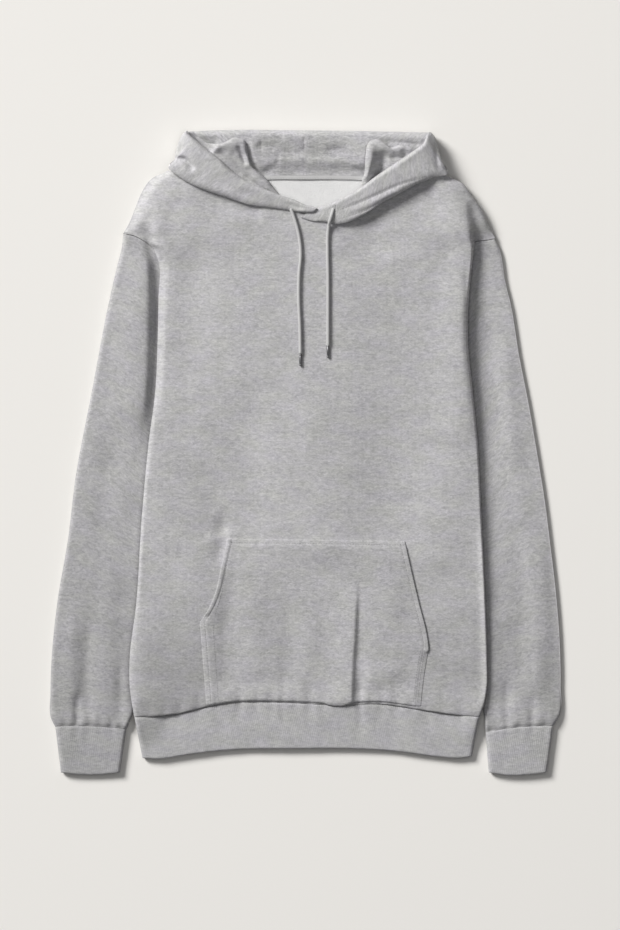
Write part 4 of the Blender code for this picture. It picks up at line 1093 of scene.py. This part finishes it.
def neck_tape(outside):
    """Tape over the back neck seam, on the inside of the back, its ends under the folds."""
    xs = np.linspace(-64.0, 86.0, 76)
    low_left = column(LINING_LOW_LEFT, 0, 1)
    low_right = column(LINING_LOW_RIGHT, 0, 1)
    top = np.where(xs < -2.0, low_right(xs), low_left(np.maximum(xs, -1.85))) - 0.2
    below = np.array([5.2, 5.0, 4.5, 3.7, 2.8, 1.9, 1.0, 0.4, 0.0])
    x = np.repeat(xs[:, None], len(below), axis=1)
    y = top[:, None] - below[None, :]
    edge = 1.0 - dome((5.2 - below[None, :]) / 1.2)
    bottom = np.full_like(x, HOOD_RIDE + FLEECE + 0.3)
    relief = 0.22 * rumple(x, y * 0.2, 9.0, 21) - 0.35 * np.exp(-((below - 3.9) / 0.5) ** 2)
    places = np.stack([x, y], axis=2)
    outer = lift(places, bottom + 1.5 + relief - 0.7 * edge)
    return add_wall("neck_seam_tape", outer, lift(places, bottom), places, outside,
                    outside)


def highest(meshes):
    """Height of the topmost of some meshes at a place, with a reach around it."""
    trees = []
    for carrier in meshes:
        corners = [vertex.co for vertex in carrier.data.vertices]
        trees.append(BVHTree.FromPolygons(corners, [p.vertices for p in carrier.data.polygons]))

    def rest(x, y, reach):
        hits = []
        for dx, dy in ((0, 0), (reach, 0), (-reach, 0), (0, reach), (0, -reach)):
            above = ((x + dx) * MM, (y + dy) * MM, 1.0)
            hits += [tree.ray_cast(above, (0.0, 0.0, -1.0))[0] for tree in trees]
        return max([hit.z for hit in hits if hit is not None], default=0.0) / MM

    return rest


def cord_route(string, rest, dip=0.0):
    """Centre line of a drawstring, lying on whatever is under it after a first dip."""
    table = np.asarray(string, float)
    places = path(table)(np.linspace(0.0, 1.0, 40))
    heights = np.array([rest(x, y, 1.6) for x, y in places])
    padded = np.pad(heights, 2, mode="edge")
    eased = (padded[:-4] + 2 * padded[1:-3] + 3 * padded[2:-2] + 2 * padded[3:-1]
             + padded[4:]) / 9.0
    run = np.linalg.norm(places - places[0], axis=1)
    level = np.maximum(heights, eased) + CORD / 2.0 + 0.1 - dip * (1.0 - ease(run / 11.0))
    return np.column_stack([places, level])


def braided_cord(name, points, surface):
    """Round braided cord along a route, its strands crossing both ways."""
    at = run_along(points)
    length = at[-1]
    run = np.arange(0.0, length, CORD_STEP)
    spine = np.column_stack([np.interp(run, at, points[:, k]) for k in range(3)])
    for _ in range(3):
        spine[1:-1] = (spine[:-2] + 2.0 * spine[1:-1] + spine[2:]) / 4.0
    along = np.gradient(spine, axis=0)
    along /= np.linalg.norm(along, axis=1)[:, None]
    side = np.cross(along, np.array([0.0, 0.0, 1.0]))
    side /= np.linalg.norm(side, axis=1)[:, None]
    up = np.cross(side, along)
    turn = np.arange(CORD_SIDES + 1) / CORD_SIDES * 2.0 * math.pi
    around, lean = STRANDS * turn[None, :], STRAND_LEAN * run[:, None]
    plait = np.maximum(np.abs(np.sin(around + lean)), np.abs(np.sin(around - lean)))
    ends = np.minimum(run, length - run)[:, None]
    radius = (CORD / 2.0 - 0.28 * (1.0 - plait)) * (0.55 + 0.45 * dome(ends / 2.0))
    ring = (spine[:, None, :] + radius[..., None] * (np.cos(turn)[None, :, None] * side[:, None]
            + np.sin(turn)[None, :, None] * up[:, None]))[:, :-1]
    quads, r, k = grid_faces(len(run), CORD_SIDES)
    uv = np.stack(np.meshgrid(turn * CORD / 2.0, run), axis=-1)
    made = add_mesh(name, ring.reshape(-1, 3) * MM, quads, face_map(uv, r, k) * MM, (surface,),
                    caps=end_caps(len(run), CORD_SIDES))
    return made, spine


def metal_tip(name, spine, rest, surface):
    """Crimped metal tip beyond the end of a cord."""
    end, before = spine[-1], spine[-6]
    along = (end - before)[:2]
    along /= np.linalg.norm(along)
    # distance from the near end, share of the full radius
    profile = [(0.0, 0.55), (0.12, 0.85), (0.35, 1.0), (1.2, 1.0), (1.5, 0.9), (1.9, 0.9),
               (2.2, 1.0), (6.0, 0.99), (11.8, 0.97), (12.1, 0.88), (12.5, 0.88),
               (12.8, 0.96), (14.2, 0.93), (14.7, 0.8), (TIP_LENGTH, 0.5)]
    turn = np.arange(TIP_SIDES) / TIP_SIDES * 2.0 * math.pi
    side = np.array([along[1], -along[0], 0.0])
    ring = np.cos(turn)[:, None] * side + np.sin(turn)[:, None] * np.array([0.0, 0.0, 1.0])
    places = [end[:2] + along * (GAP + run) for run, _ in profile]
    level = max(rest(*places[0], 1.0), rest(*places[-1], 1.0)) + TIP / 2.0 + 0.15
    points = np.concatenate([np.append(place, level) + TIP / 2.0 * share * ring
                             for place, (_, share) in zip(places, profile)])
    quads = grid_faces(len(profile), TIP_SIDES)[0]
    return add_mesh(name, points * MM, quads, np.zeros((len(quads), 4, 2)), (surface,),
                    caps=end_caps(len(profile), TIP_SIDES))


def stitches(name, lines, rest, surface, length=2.6):
    """Rows of lockstitches along lines in plan, each stitch a short thread on the cloth."""
    points, quads = [], []
    spans = [(-0.5, 0.0, 0.0), (-0.42, 0.75, 0.3), (-0.15, 1.0, 1.0), (0.15, 1.0, 1.0),
             (0.42, 0.75, 0.3), (0.5, 0.0, 0.0)]
    for line in lines:
        places = path(line)(np.linspace(0.0, 1.0, 160))
        at = run_along(places)
        for run in np.arange(STITCH_PITCH / 2.0, at[-1], STITCH_PITCH):
            here, ahead = (np.array([np.interp(spot, at, places[:, k]) for k in (0, 1)])
                           for spot in (run, run + 0.5))
            way = ahead - here
            if np.linalg.norm(way) < 0.05:
                continue
            way = way / np.linalg.norm(way)
            square = np.array([-way[1], way[0]])
            base = len(points)
            low, high = (rest(*(here + way * length * share), 0.0) for share in (-0.5, 0.5))
            for share, girth, hump in spans:
                spot = here + way * length * share
                height = low + (high - low) * (share + 0.5) + STITCH_SINK + 0.22 * hump - 0.2
                half = THREAD / 2.0 * max(girth, 0.25)
                for a, b in ((1, 0), (0, 1), (-1, 0), (0, -1)):
                    points.append((*(spot + square * a * half), height + b * half))
            for ring in range(len(spans) - 1):
                for k in range(4):
                    first, second = base + ring * 4 + k, base + ring * 4 + (k + 1) % 4
                    quads.append((first, second, second + 4, first + 4))
            quads.append((base + 3, base + 2, base + 1, base))
            quads.append(tuple(base + 4 * (len(spans) - 1) + k for k in range(4)))
    quads = np.array(quads)
    return add_mesh(name, np.array(points) * MM, quads, np.zeros((len(quads), 4, 2)), (surface,))


# ---- Finishes


def add_node(tree, kind, inputs=None, **settings):
    """One shader node with its settings, its inputs given as values or as sockets."""
    made = tree.nodes.new(kind)
    for key, value in settings.items():
        setattr(made, key, value)
    for key, value in (inputs or {}).items():
        if isinstance(value, bpy.types.NodeSocket):
            tree.links.new(value, made.inputs[key])
        else:
            made.inputs[key].default_value = value
    return made


def new_group(name, inputs, outputs):
    """Empty node group with named sockets."""
    group = bpy.data.node_groups.new(name, "ShaderNodeTree")
    for label, kind, value in inputs:
        socket = group.interface.new_socket(name=label, in_out="INPUT", socket_type=kind)
        if value is not None:
            socket.default_value = value
    for label, kind in outputs:
        group.interface.new_socket(name=label, in_out="OUTPUT", socket_type=kind)
    return group, group.nodes.new("NodeGroupInput"), group.nodes.new("NodeGroupOutput")


def maths(tree, operation, a, b=0.0, c=0.0):
    """Result of one sum on values or sockets."""
    return add_node(tree, "ShaderNodeMath", {0: a, 1: b, 2: c}, operation=operation).outputs[0]


def stretched(tree, vector, scale, turn=0.0):
    """Coordinates scaled on each axis."""
    made = add_node(tree, "ShaderNodeMapping", {"Vector": vector})
    made.inputs["Scale"].default_value = scale
    made.inputs["Rotation"].default_value = (0.0, 0.0, turn)
    return made.outputs["Vector"]


def noise(tree, vector, scale, detail=2.0, roughness=0.5, distortion=0.0):
    """Noise value over coordinates."""
    return add_node(tree, "ShaderNodeTexNoise", {
        "Vector": vector, "Scale": scale, "Detail": detail, "Roughness": roughness,
        "Distortion": distortion}, noise_dimensions="2D").outputs["Fac"]


def swung(tree, value, gain, middle=0.5):
    """Value whose swing about a half is multiplied by gain and set about middle."""
    return maths(tree, "MULTIPLY_ADD", maths(tree, "SUBTRACT", value, 0.5), gain, middle)


def blended(tree, factor, low, high, **settings):
    """Mix of two colours, from low to high."""
    return add_node(tree, "ShaderNodeMix", {"Factor": factor, 6: low, 7: high},
                    data_type="RGBA", **settings).outputs[2]


def shaded(tree, colour, shade):
    """Colour multiplied by a shade."""
    return blended(tree, 1.0, colour, shade, blend_type="MULTIPLY")


def raised(tree, height, strength, distance, under=None):
    """Normals of a relief, laid over the ones under it."""
    inputs = {"Strength": strength, "Distance": distance, "Height": height}
    if under is not None:
        inputs["Normal"] = under
    return add_node(tree, "ShaderNodeBump", inputs).outputs["Normal"]


def melange_group():
    """Mixed light and dark fibres of a jersey knit, drawn out along its rows."""
    group, start, end = new_group("Melange knit", [
        ("Vector", "NodeSocketVector", None),
        ("Light", "NodeSocketColor", (0.5, 0.5, 0.5, 1.0)),
        ("Dark", "NodeSocketColor", (0.2, 0.2, 0.2, 1.0)),
        ("Contrast", "NodeSocketFloat", 1.0)], [
        ("Color", "NodeSocketColor"), ("Height", "NodeSocketFloat")])
    vector = start.outputs["Vector"]
    streaks = noise(group, stretched(group, vector, (135.0, 340.0, 1.0)), 1.0, 3.0, 0.65, 0.5)
    flecks = noise(group, stretched(group, vector, (360.0, 700.0, 1.0)), 1.0, 2.0, 0.6)
    clouds = noise(group, stretched(group, vector, (22.0, 50.0, 1.0)), 1.0, 2.0, 0.5)
    value = swung(group, streaks, 1.75)
    value = swung(group, flecks, 0.95, value)
    value = swung(group, clouds, 0.5, value)
    value = swung(group, value, start.outputs["Contrast"])
    fibres = blended(group, value, start.outputs["Dark"], start.outputs["Light"],
                     clamp_factor=True)
    tints = noise(group, stretched(group, vector, (34.0, 62.0, 1.0)), 1.0, 2.0, 0.5)
    tint = blended(group, swung(group, tints, 2.2), (1.0, 0.992, 0.972, 1.0),
                   (1.0, 0.978, 1.022, 1.0), clamp_factor=True)
    group.links.new(shaded(group, fibres, tint), end.inputs["Color"])
    rows = add_node(group, "ShaderNodeTexWave", {
        "Vector": vector, "Scale": 180.0, "Distortion": 1.2, "Detail": 1.0,
        "Detail Scale": 2.0}, wave_type="BANDS", bands_direction="X")
    fuzz = noise(group, stretched(group, vector, (420.0, 900.0, 1.0)), 1.0, 4.0, 0.7)
    height = maths(group, "MULTIPLY_ADD", fuzz, 0.8,
                   maths(group, "MULTIPLY", rows.outputs["Fac"], 0.2))
    group.links.new(height, end.inputs["Height"])
    return group


def rib_group():
    """Upright ribs of a folded rib knit."""
    group, start, end = new_group("Rib", [
        ("Vector", "NodeSocketVector", None), ("Pitch", "NodeSocketFloat", 0.0024)],
        [("Height", "NodeSocketFloat"), ("Shade", "NodeSocketFloat")])
    parts = add_node(group, "ShaderNodeSeparateXYZ", {0: start.outputs["Vector"]})
    sway = noise(group, stretched(group, start.outputs["Vector"], (60.0, 25.0, 1.0)), 1.0, 1.0)
    across = maths(group, "MULTIPLY_ADD", sway, 0.0012, parts.outputs[0])
    phase = maths(group, "DIVIDE", across, start.outputs["Pitch"])
    wave = maths(group, "SINE", maths(group, "MULTIPLY", phase, 2.0 * math.pi))
    rib = maths(group, "MULTIPLY_ADD", wave, 0.5, 0.5)
    group.links.new(rib, end.inputs["Height"])
    group.links.new(rib, end.inputs["Shade"])
    return group


def brushed_group():
    """Matted loops of brushed fleece."""
    group, start, end = new_group("Brushed pile", [("Vector", "NodeSocketVector", None)], [
        ("Height", "NodeSocketFloat"), ("Shade", "NodeSocketFloat")])
    vector = start.outputs["Vector"]
    tufts = noise(group, stretched(group, vector, (330.0, 330.0, 1.0)), 1.0, 4.0, 0.7, 1.2)
    clouds = noise(group, stretched(group, vector, (45.0, 70.0, 1.0)), 1.0, 2.0, 0.5)
    group.links.new(tufts, end.inputs["Height"])
    shade = maths(group, "MULTIPLY_ADD", tufts, 0.6, maths(group, "MULTIPLY", clouds, 0.4))
    group.links.new(shade, end.inputs["Shade"])
    return group


MELANGE, RIBS, BRUSHED = melange_group(), rib_group(), brushed_group()


def new_material(name):
    """Empty material, its nodes and the cut's coordinates."""
    made = bpy.data.materials.new(name)
    made.use_nodes = True
    cut = add_node(made.node_tree, "ShaderNodeUVMap", uv_map="Cut")
    return made, made.node_tree, cut.outputs["UV"]


def dress(tree, colour, normal, values):
    """Give a material's shader its colour, its relief and its plain values."""
    shader = tree.nodes["Principled BSDF"]
    tree.links.new(colour, shader.inputs["Base Color"])
    if normal is not None:
        tree.links.new(normal, shader.inputs["Normal"])
    for label, value in values.items():
        shader.inputs[label].default_value = value
    return shader


def grey(value, tint=0.0):
    """Linear grey, a little cooler for a positive tint."""
    return (value * (1.0 - tint), value, value * (1.0 + tint), 1.0)


def melange(tree, vector, light, dark, contrast):
    """Melange knit group with the colours of its light and its dark fibres."""
    return add_node(tree, "ShaderNodeGroup", {
        "Vector": vector, "Light": light, "Dark": dark, "Contrast": contrast},
        node_tree=MELANGE)


def knit(name, light, dark, contrast=1.0, bump=0.35, painted_shade=None):
    """Grey melange jersey from the greys of its light and its dark fibres.

    painted_shade gives where on the cut painted shade starts and ends, and how much it darkens.
    """
    made, tree, cut = new_material(name)
    fibres = melange(tree, cut, grey(light, 0.01), grey(dark, 0.016), contrast)
    colour = fibres.outputs["Color"]
    if painted_shade:
        begin, end, amount = painted_shade
        # painted shade: the colour darkens along the cut towards the hem or the cuff, where less
        # light falls
        parts = add_node(tree, "ShaderNodeSeparateXYZ", {0: cut})
        shade = add_node(tree, "ShaderNodeMapRange", {
            "Value": parts.outputs[1], "From Min": begin, "From Max": end,
            "To Min": 1.0, "To Max": 1.0 - amount}, interpolation_type="SMOOTHSTEP")
        colour = shaded(tree, colour, shade.outputs[0])
    dress(tree, colour, raised(tree, fibres.outputs["Height"], bump, 0.0006), {
        "Roughness": 0.92, "Specular IOR Level": 0.2, "Sheen Weight": 0.12,
        "Sheen Roughness": 0.6})
    return made


def rib_knit(name, light, dark):
    """Grey melange rib."""
    made, tree, cut = new_material(name)
    fibres = melange(tree, cut, grey(light, 0.01), grey(dark, 0.02), 0.9)
    ribs = add_node(tree, "ShaderNodeGroup", {"Vector": cut, "Pitch": 0.0024}, node_tree=RIBS)
    shade = maths(tree, "MULTIPLY_ADD", ribs.outputs["Shade"], 0.05, 0.96)
    fuzz = raised(tree, fibres.outputs["Height"], 0.3, 0.0005)
    dress(tree, shaded(tree, fibres.outputs["Color"], shade),
          raised(tree, ribs.outputs["Height"], 0.22, 0.0006, fuzz), {
              "Roughness": 0.92, "Specular IOR Level": 0.2, "Sheen Weight": 0.1,
              "Sheen Roughness": 0.6})
    return made


def brushed(name, light, dark):
    """White brushed inside of the fleece."""
    made, tree, cut = new_material(name)
    pile = add_node(tree, "ShaderNodeGroup", {"Vector": cut}, node_tree=BRUSHED)
    colour = blended(tree, pile.outputs["Shade"], grey(dark, 0.01), grey(light))
    dress(tree, colour, raised(tree, pile.outputs["Height"], 0.5, 0.0012), {
        "Roughness": 0.96, "Specular IOR Level": 0.15, "Sheen Weight": 0.2})
    return made


def braid(name, light, dark):
    """Plaited cotton of the drawstrings and the tape."""
    made, tree, cut = new_material(name)
    strands = add_node(tree, "ShaderNodeTexWave", {
        "Vector": stretched(tree, cut, (1.0, 1.0, 1.0), 0.6), "Scale": 260.0,
        "Distortion": 0.6, "Detail": 1.0}, wave_type="BANDS", bands_direction="X")
    fibres = noise(tree, stretched(tree, cut, (900.0, 900.0, 1.0)), 1.0, 3.0, 0.6)
    value = maths(tree, "MULTIPLY_ADD", strands.outputs["Fac"], 0.4,
                  maths(tree, "MULTIPLY", fibres, 0.6))
    dress(tree, blended(tree, value, grey(dark, 0.01), grey(light)),
          raised(tree, value, 0.35, 0.0004), {
              "Roughness": 0.85, "Specular IOR Level": 0.25, "Sheen Weight": 0.1})
    return made


def grain(tree, scale, detail):
    """Fine noise in the piece's own space."""
    place = add_node(tree, "ShaderNodeTexCoord").outputs["Object"]
    return add_node(tree, "ShaderNodeTexNoise", {
        "Vector": place, "Scale": scale, "Detail": detail}).outputs["Fac"]


def plated(name):
    """Dark plated metal, softly worn."""
    made, tree, _ = new_material(name)
    wear = grain(tree, 900.0, 3.0)
    colour = blended(tree, wear, (0.16, 0.16, 0.17, 1.0), (0.30, 0.30, 0.31, 1.0))
    shader = dress(tree, colour, None, {"Metallic": 1.0})
    tree.links.new(maths(tree, "MULTIPLY_ADD", wear, 0.2, 0.28), shader.inputs["Roughness"])
    return made


def thread(name, value):
    """Sewing thread."""
    made, tree, _ = new_material(name)
    colour = blended(tree, grain(tree, 2500.0, 2.0), grey(value * 0.75, 0.01),
                     grey(value * 1.2))
    dress(tree, colour, None, {"Roughness": 0.7, "Sheen Weight": 0.1})
    return made


# ---- View and light


def camera():
    """Straight above, as long a lens as keeps the sides upright."""
    lens = bpy.data.cameras.new("camera")
    lens.lens = 300.0
    lens.sensor_width = 36.0
    lens.sensor_fit = "AUTO"
    lens.clip_start, lens.clip_end = 0.05, 60.0
    made = bpy.data.objects.new("camera", lens)
    bpy.context.collection.objects.link(made)
    away = PICTURE_ROWS * MM_PER_ROW * MM * lens.lens / lens.sensor_width
    made.location = (AIM[0] * MM, AIM[1] * MM, AIM[2] * MM + away)
    bpy.context.scene.camera = made


def floor():
    """Plain pale surface under the garment."""
    bpy.ops.object.select_all(action="DESELECT")
    bpy.ops.mesh.primitive_plane_add(size=FLOOR_SIZE, location=(0.0, 0.0, -FLOOR_GAP))
    made = bpy.context.object
    made.name = "floor"
    bpy.ops.object.transform_apply(location=True, rotation=True, scale=True)
    surface = bpy.data.materials.new("pale_board")
    surface.use_nodes = True
    shader = surface.node_tree.nodes["Principled BSDF"]
    shader.inputs["Base Color"].default_value = (0.81, 0.80, 0.775, 1.0)
    shader.inputs["Roughness"].default_value = 0.9
    shader.inputs["Specular IOR Level"].default_value = 0.1
    made.data.materials.append(surface)


def light(name, place, size, power, colour, aim=(0.0, 0.0, 0.0)):
    """Square soft light aimed at a place on the garment."""
    lamp = bpy.data.lights.new(name, "AREA")
    lamp.shape = "SQUARE"
    lamp.size = size
    lamp.energy = power
    lamp.color = colour
    made = bpy.data.objects.new(name, lamp)
    bpy.context.collection.objects.link(made)
    made.location = place
    made.rotation_mode = "QUATERNION"
    made.rotation_quaternion = (Vector(aim) - Vector(place)).to_track_quat("-Z", "Y")


def studio():
    """Soft key from the upper left, even fill from all round."""
    light("key", (-12.0, 10.6, 10.2), size=6.4, power=5210.0, colour=(1.0, 0.985, 0.965))
    light("ceiling", (0.15, 0.1, 2.6), size=2.0, power=9.2, colour=(1.0, 0.985, 0.97),
          aim=(0.15, 0.1, 0.0))
    world = bpy.data.worlds.new("soft_fill")
    world.use_nodes = True
    sky = world.node_tree.nodes["Background"]
    sky.inputs["Color"].default_value = (0.985, 0.98, 1.0, 1.0)
    sky.inputs["Strength"].default_value = 0.138
    bpy.context.scene.world = world
    bpy.context.scene.view_settings.view_transform = "Standard"


# ---- The garment

camera()
fleece_inside = brushed("brushed_inside", 0.80, 0.63)
# painted shade darkens the front towards the hem
front_jersey = knit("front_jersey", 0.55, 0.345, painted_shade=(-0.10, -0.30, 0.16))
front = body_panel("front_panel", NECK_FRONT, front_jersey, fleece_inside, side=1, pitch=3.0)
hood_left = hood_panel("hood_side_left", HOOD_LEFT, BAND_CREASES_LEFT,
                       knit("hood_left_jersey", 0.56, 0.35), fleece_inside, seed=31)
route_right = cord_route(STRING_RIGHT, highest([front]))
cord_right, spine_right = braided_cord("cord_right", route_right,
                                       braid("cord_right_cotton", 0.56, 0.38))
route_left = cord_route(STRING_LEFT, highest([front, hood_left]), dip=3.4)
cord_left, spine_left = braided_cord("cord_left", route_left,
                                     braid("cord_left_cotton", 0.56, 0.38))
tip_right = metal_tip("cord_tip_right", spine_right, highest([front]), plated("tip_plating"))
tip_left = metal_tip("cord_tip_left", spine_left, highest([front]),
                     plated("tip_plating_left"))
back = body_panel("back_panel", NECK_BACK, knit("back_jersey", 0.56, 0.34), fleece_inside,
                  side=-1, pitch=4.5)
# painted shade darkens the right sleeve towards its cuff
right_jersey = knit("sleeve_right_jersey", 0.49, 0.30, painted_shade=(0.34, 0.03, 0.13))
sleeve_right = sleeve("sleeve_tube_right", SLEEVE_OUT_RIGHT, ARMHOLE_RIGHT, ARM_TUCK_RIGHT,
                      CUFF_SEAM_RIGHT, right_edge, SLEEVE_CREASES_RIGHT, CUFF_GATHERS_RIGHT,
                      VALLEY_RIGHT, right_jersey, fleece_inside, mirror=-1, bank=0.0)
# painted shade darkens the left sleeve towards its cuff
left_jersey = knit("sleeve_left_jersey", 0.54, 0.33, painted_shade=(0.34, 0.03, 0.15))
sleeve_left = sleeve("sleeve_tube_left", SLEEVE_OUT_LEFT, ARMHOLE_LEFT, ARM_TUCK_LEFT,
                     CUFF_SEAM_LEFT, left_edge, SLEEVE_CREASES_LEFT, CUFF_GATHERS_LEFT,
                     VALLEY_LEFT, left_jersey, fleece_inside, mirror=1, bank=3.0)
hem = rib_tube("hem_rib_band", HEM_EDGE, HEM_SEAM, back_under, HEM_GATHERS,
               rib_knit("hem_rib_knit", 0.50, 0.33), loft=RIB_LOFT, seed=41)
cuff_right = rib_tube("cuff_band_right", CUFF_EDGE_RIGHT, CUFF_SEAM_RIGHT, level,
                      CUFF_GATHERS_RIGHT, rib_knit("cuff_right_rib_knit", 0.45, 0.28),
                      loft=CUFF_LOFT, seed=44)
cuff_left = rib_tube("cuff_band_left", CUFF_EDGE_LEFT, CUFF_SEAM_LEFT, level,
                     CUFF_GATHERS_LEFT, rib_knit("cuff_left_rib_knit", 0.50, 0.32),
                     loft=CUFF_LOFT, seed=47)
pocket_piece = pocket(knit("pocket_jersey", 0.53, 0.32), fleece_inside)
stack = hood_stack(knit("hood_back_jersey", 0.53, 0.33))
lining_right = lining("hood_lining_piece_right", LINING_LOW_RIGHT,
                      knit("lining_right_jersey", 0.56, 0.34, bump=0.9, contrast=1.25))
lining_left = lining("hood_lining_piece_left", LINING_LOW_LEFT,
                     knit("lining_left_jersey", 0.56, 0.34, bump=0.9, contrast=1.25))
fold_right = lining_fold("lining_fold_piece_right", LINING_FOLD_RIGHT, LINING_TUCK_RIGHT,
                         FOLD_CREASES_RIGHT, knit("fold_right_jersey", 0.54, 0.34, bump=0.6))
fold_left = lining_fold("lining_fold_piece_left", LINING_FOLD_LEFT, LINING_TUCK_LEFT,
                        FOLD_CREASES_LEFT, knit("fold_left_jersey", 0.54, 0.34, bump=0.6))
hood_right = hood_panel("hood_side_right", HOOD_RIGHT, BAND_CREASES_RIGHT,
                        knit("hood_right_jersey", 0.57, 0.37), fleece_inside, seed=35)
tape = neck_tape(braid("tape_cotton", 0.60, 0.44))

for piece, node, name in (
        (front, "body_front", "body_front_knit"), (back, "body_back", "body_back_knit"),
        (sleeve_right, "sleeve_right", "sleeve_right_knit"),
        (sleeve_left, "sleeve_left", "sleeve_left_knit"),
        (hem, "hem_band", "hem_rib"), (cuff_right, "cuff_right", "cuff_right_rib"),
        (cuff_left, "cuff_left", "cuff_left_rib"), (pocket_piece, "pocket", "pocket_knit"),
        (stack, "hood_back", "hood_back_knit"),
        (lining_right, "hood_lining_right", "hood_lining_right_knit"),
        (lining_left, "hood_lining_left", "hood_lining_left_knit"),
        (fold_right, "hood_fold_right", "hood_fold_right_knit"),
        (fold_left, "hood_fold_left", "hood_fold_left_knit"),
        (hood_right, "hood_right", "hood_right_knit"),
        (hood_left, "hood_left", "hood_left_knit"), (tape, "neck_tape", "neck_tape_cotton"),
        (cord_right, "drawstring_right", "drawstring_right_cotton"),
        (cord_left, "drawstring_left", "drawstring_left_cotton"),
        (tip_right, "tip_right", "tip_right_metal"), (tip_left, "tip_left", "tip_left_metal")):
    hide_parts(node)

band_rest = highest([hood_left])
pocket_stitching = stitches("pocket_stitching", [
    [(-97.5, -112.6), (10, -113.6), (123.5, -115.6)],
    [(-92, -110), (-98.6, -140), (-104.6, -173), (-113.6, -204)],
    [(118, -113), (127, -151), (136, -189), (146, -230), (148, -243)],
    [(-126, -216), (-122, -263), (-118.5, -312)], [(-116, -214), (-112.4, -263), (-109, -311)],
    [(148.5, -247), (143, -281), (139.5, -313)], [(143.4, -247), (138, -281), (134.5, -312)]],
    highest([pocket_piece]), thread("seam_thread", 0.27))
channel_stitching = stitches("hood_channel_stitching", [
    [(30, 298), (37, 301), (60, 309), (88, 321), (115, 333), (150, 345)],
    [(40, 291), (60, 297), (90, 308), (122, 324), (154, 340)]],
    band_rest, thread("channel_thread", 0.3))
tape_stitching = stitches("tape_stitching", [
    [(-62, 341.9), (0, 341.9), (40, 341.9), (82, 339.4)]],
    highest([tape]), thread("tape_thread", 0.4))
bars = [[(side, 299.0 + 0.8 * k), (side + 3.4, 299.0 + 0.8 * k)]
        for k in range(13) for side in (32.4, 35.2)]
buttonhole_stitching = stitches("buttonhole_stitching", bars, band_rest,
                                thread("buttonhole_thread", 0.3), length=2.0)

for laid, spine, tip in ((cord_right, spine_right, tip_right), (cord_left, spine_left, tip_left)):
    route = [[value * MM for value in spot] for spot in spine.tolist()]
    sum(math.dist(a, b) for a, b in zip(route, route[1:]))
for piece, flat, area, held, under, sewn in (
        (front, (0.456, 0.690), 0.281, "laid", [back], []),
        (back, (0.456, 0.690), 0.284, "laid", [stack], []),
        (sleeve_right, (0.300, 0.630), 0.150, "laid", [], []),
        (sleeve_left, (0.300, 0.630), 0.150, "laid", [], []),
        (hem, (0.830, 0.056), None, "laid", [], []),
        (cuff_right, (0.176, 0.058), None, "laid", [], []),
        (cuff_left, (0.176, 0.058), None, "laid", [], []),
        (pocket_piece, (0.286, 0.210), 0.053, "laid", [front], [pocket_stitching]),
        (stack, (0.340, 0.190), 0.045, "folded", [], []),
        (hood_right, (0.066, 0.245), 0.0100, "folded", [front], []),
        (hood_left, (0.066, 0.245), 0.0102, "folded", [front],
         [channel_stitching, buttonhole_stitching]),
        (lining_right, (0.148, 0.075), 0.0100, "folded", [stack], []),
        (lining_left, (0.158, 0.075), 0.0107, "folded", [stack], []),
        (fold_right, (0.040, 0.105), 0.0037, "folded", [lining_right], []),
        (fold_left, (0.038, 0.098), 0.0032, "folded", [lining_left], []),
        (tape, (0.150, 0.010), 0.0010, "laid", [back], [tape_stitching])):
    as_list(under)
    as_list(sewn)

floor()
studio()
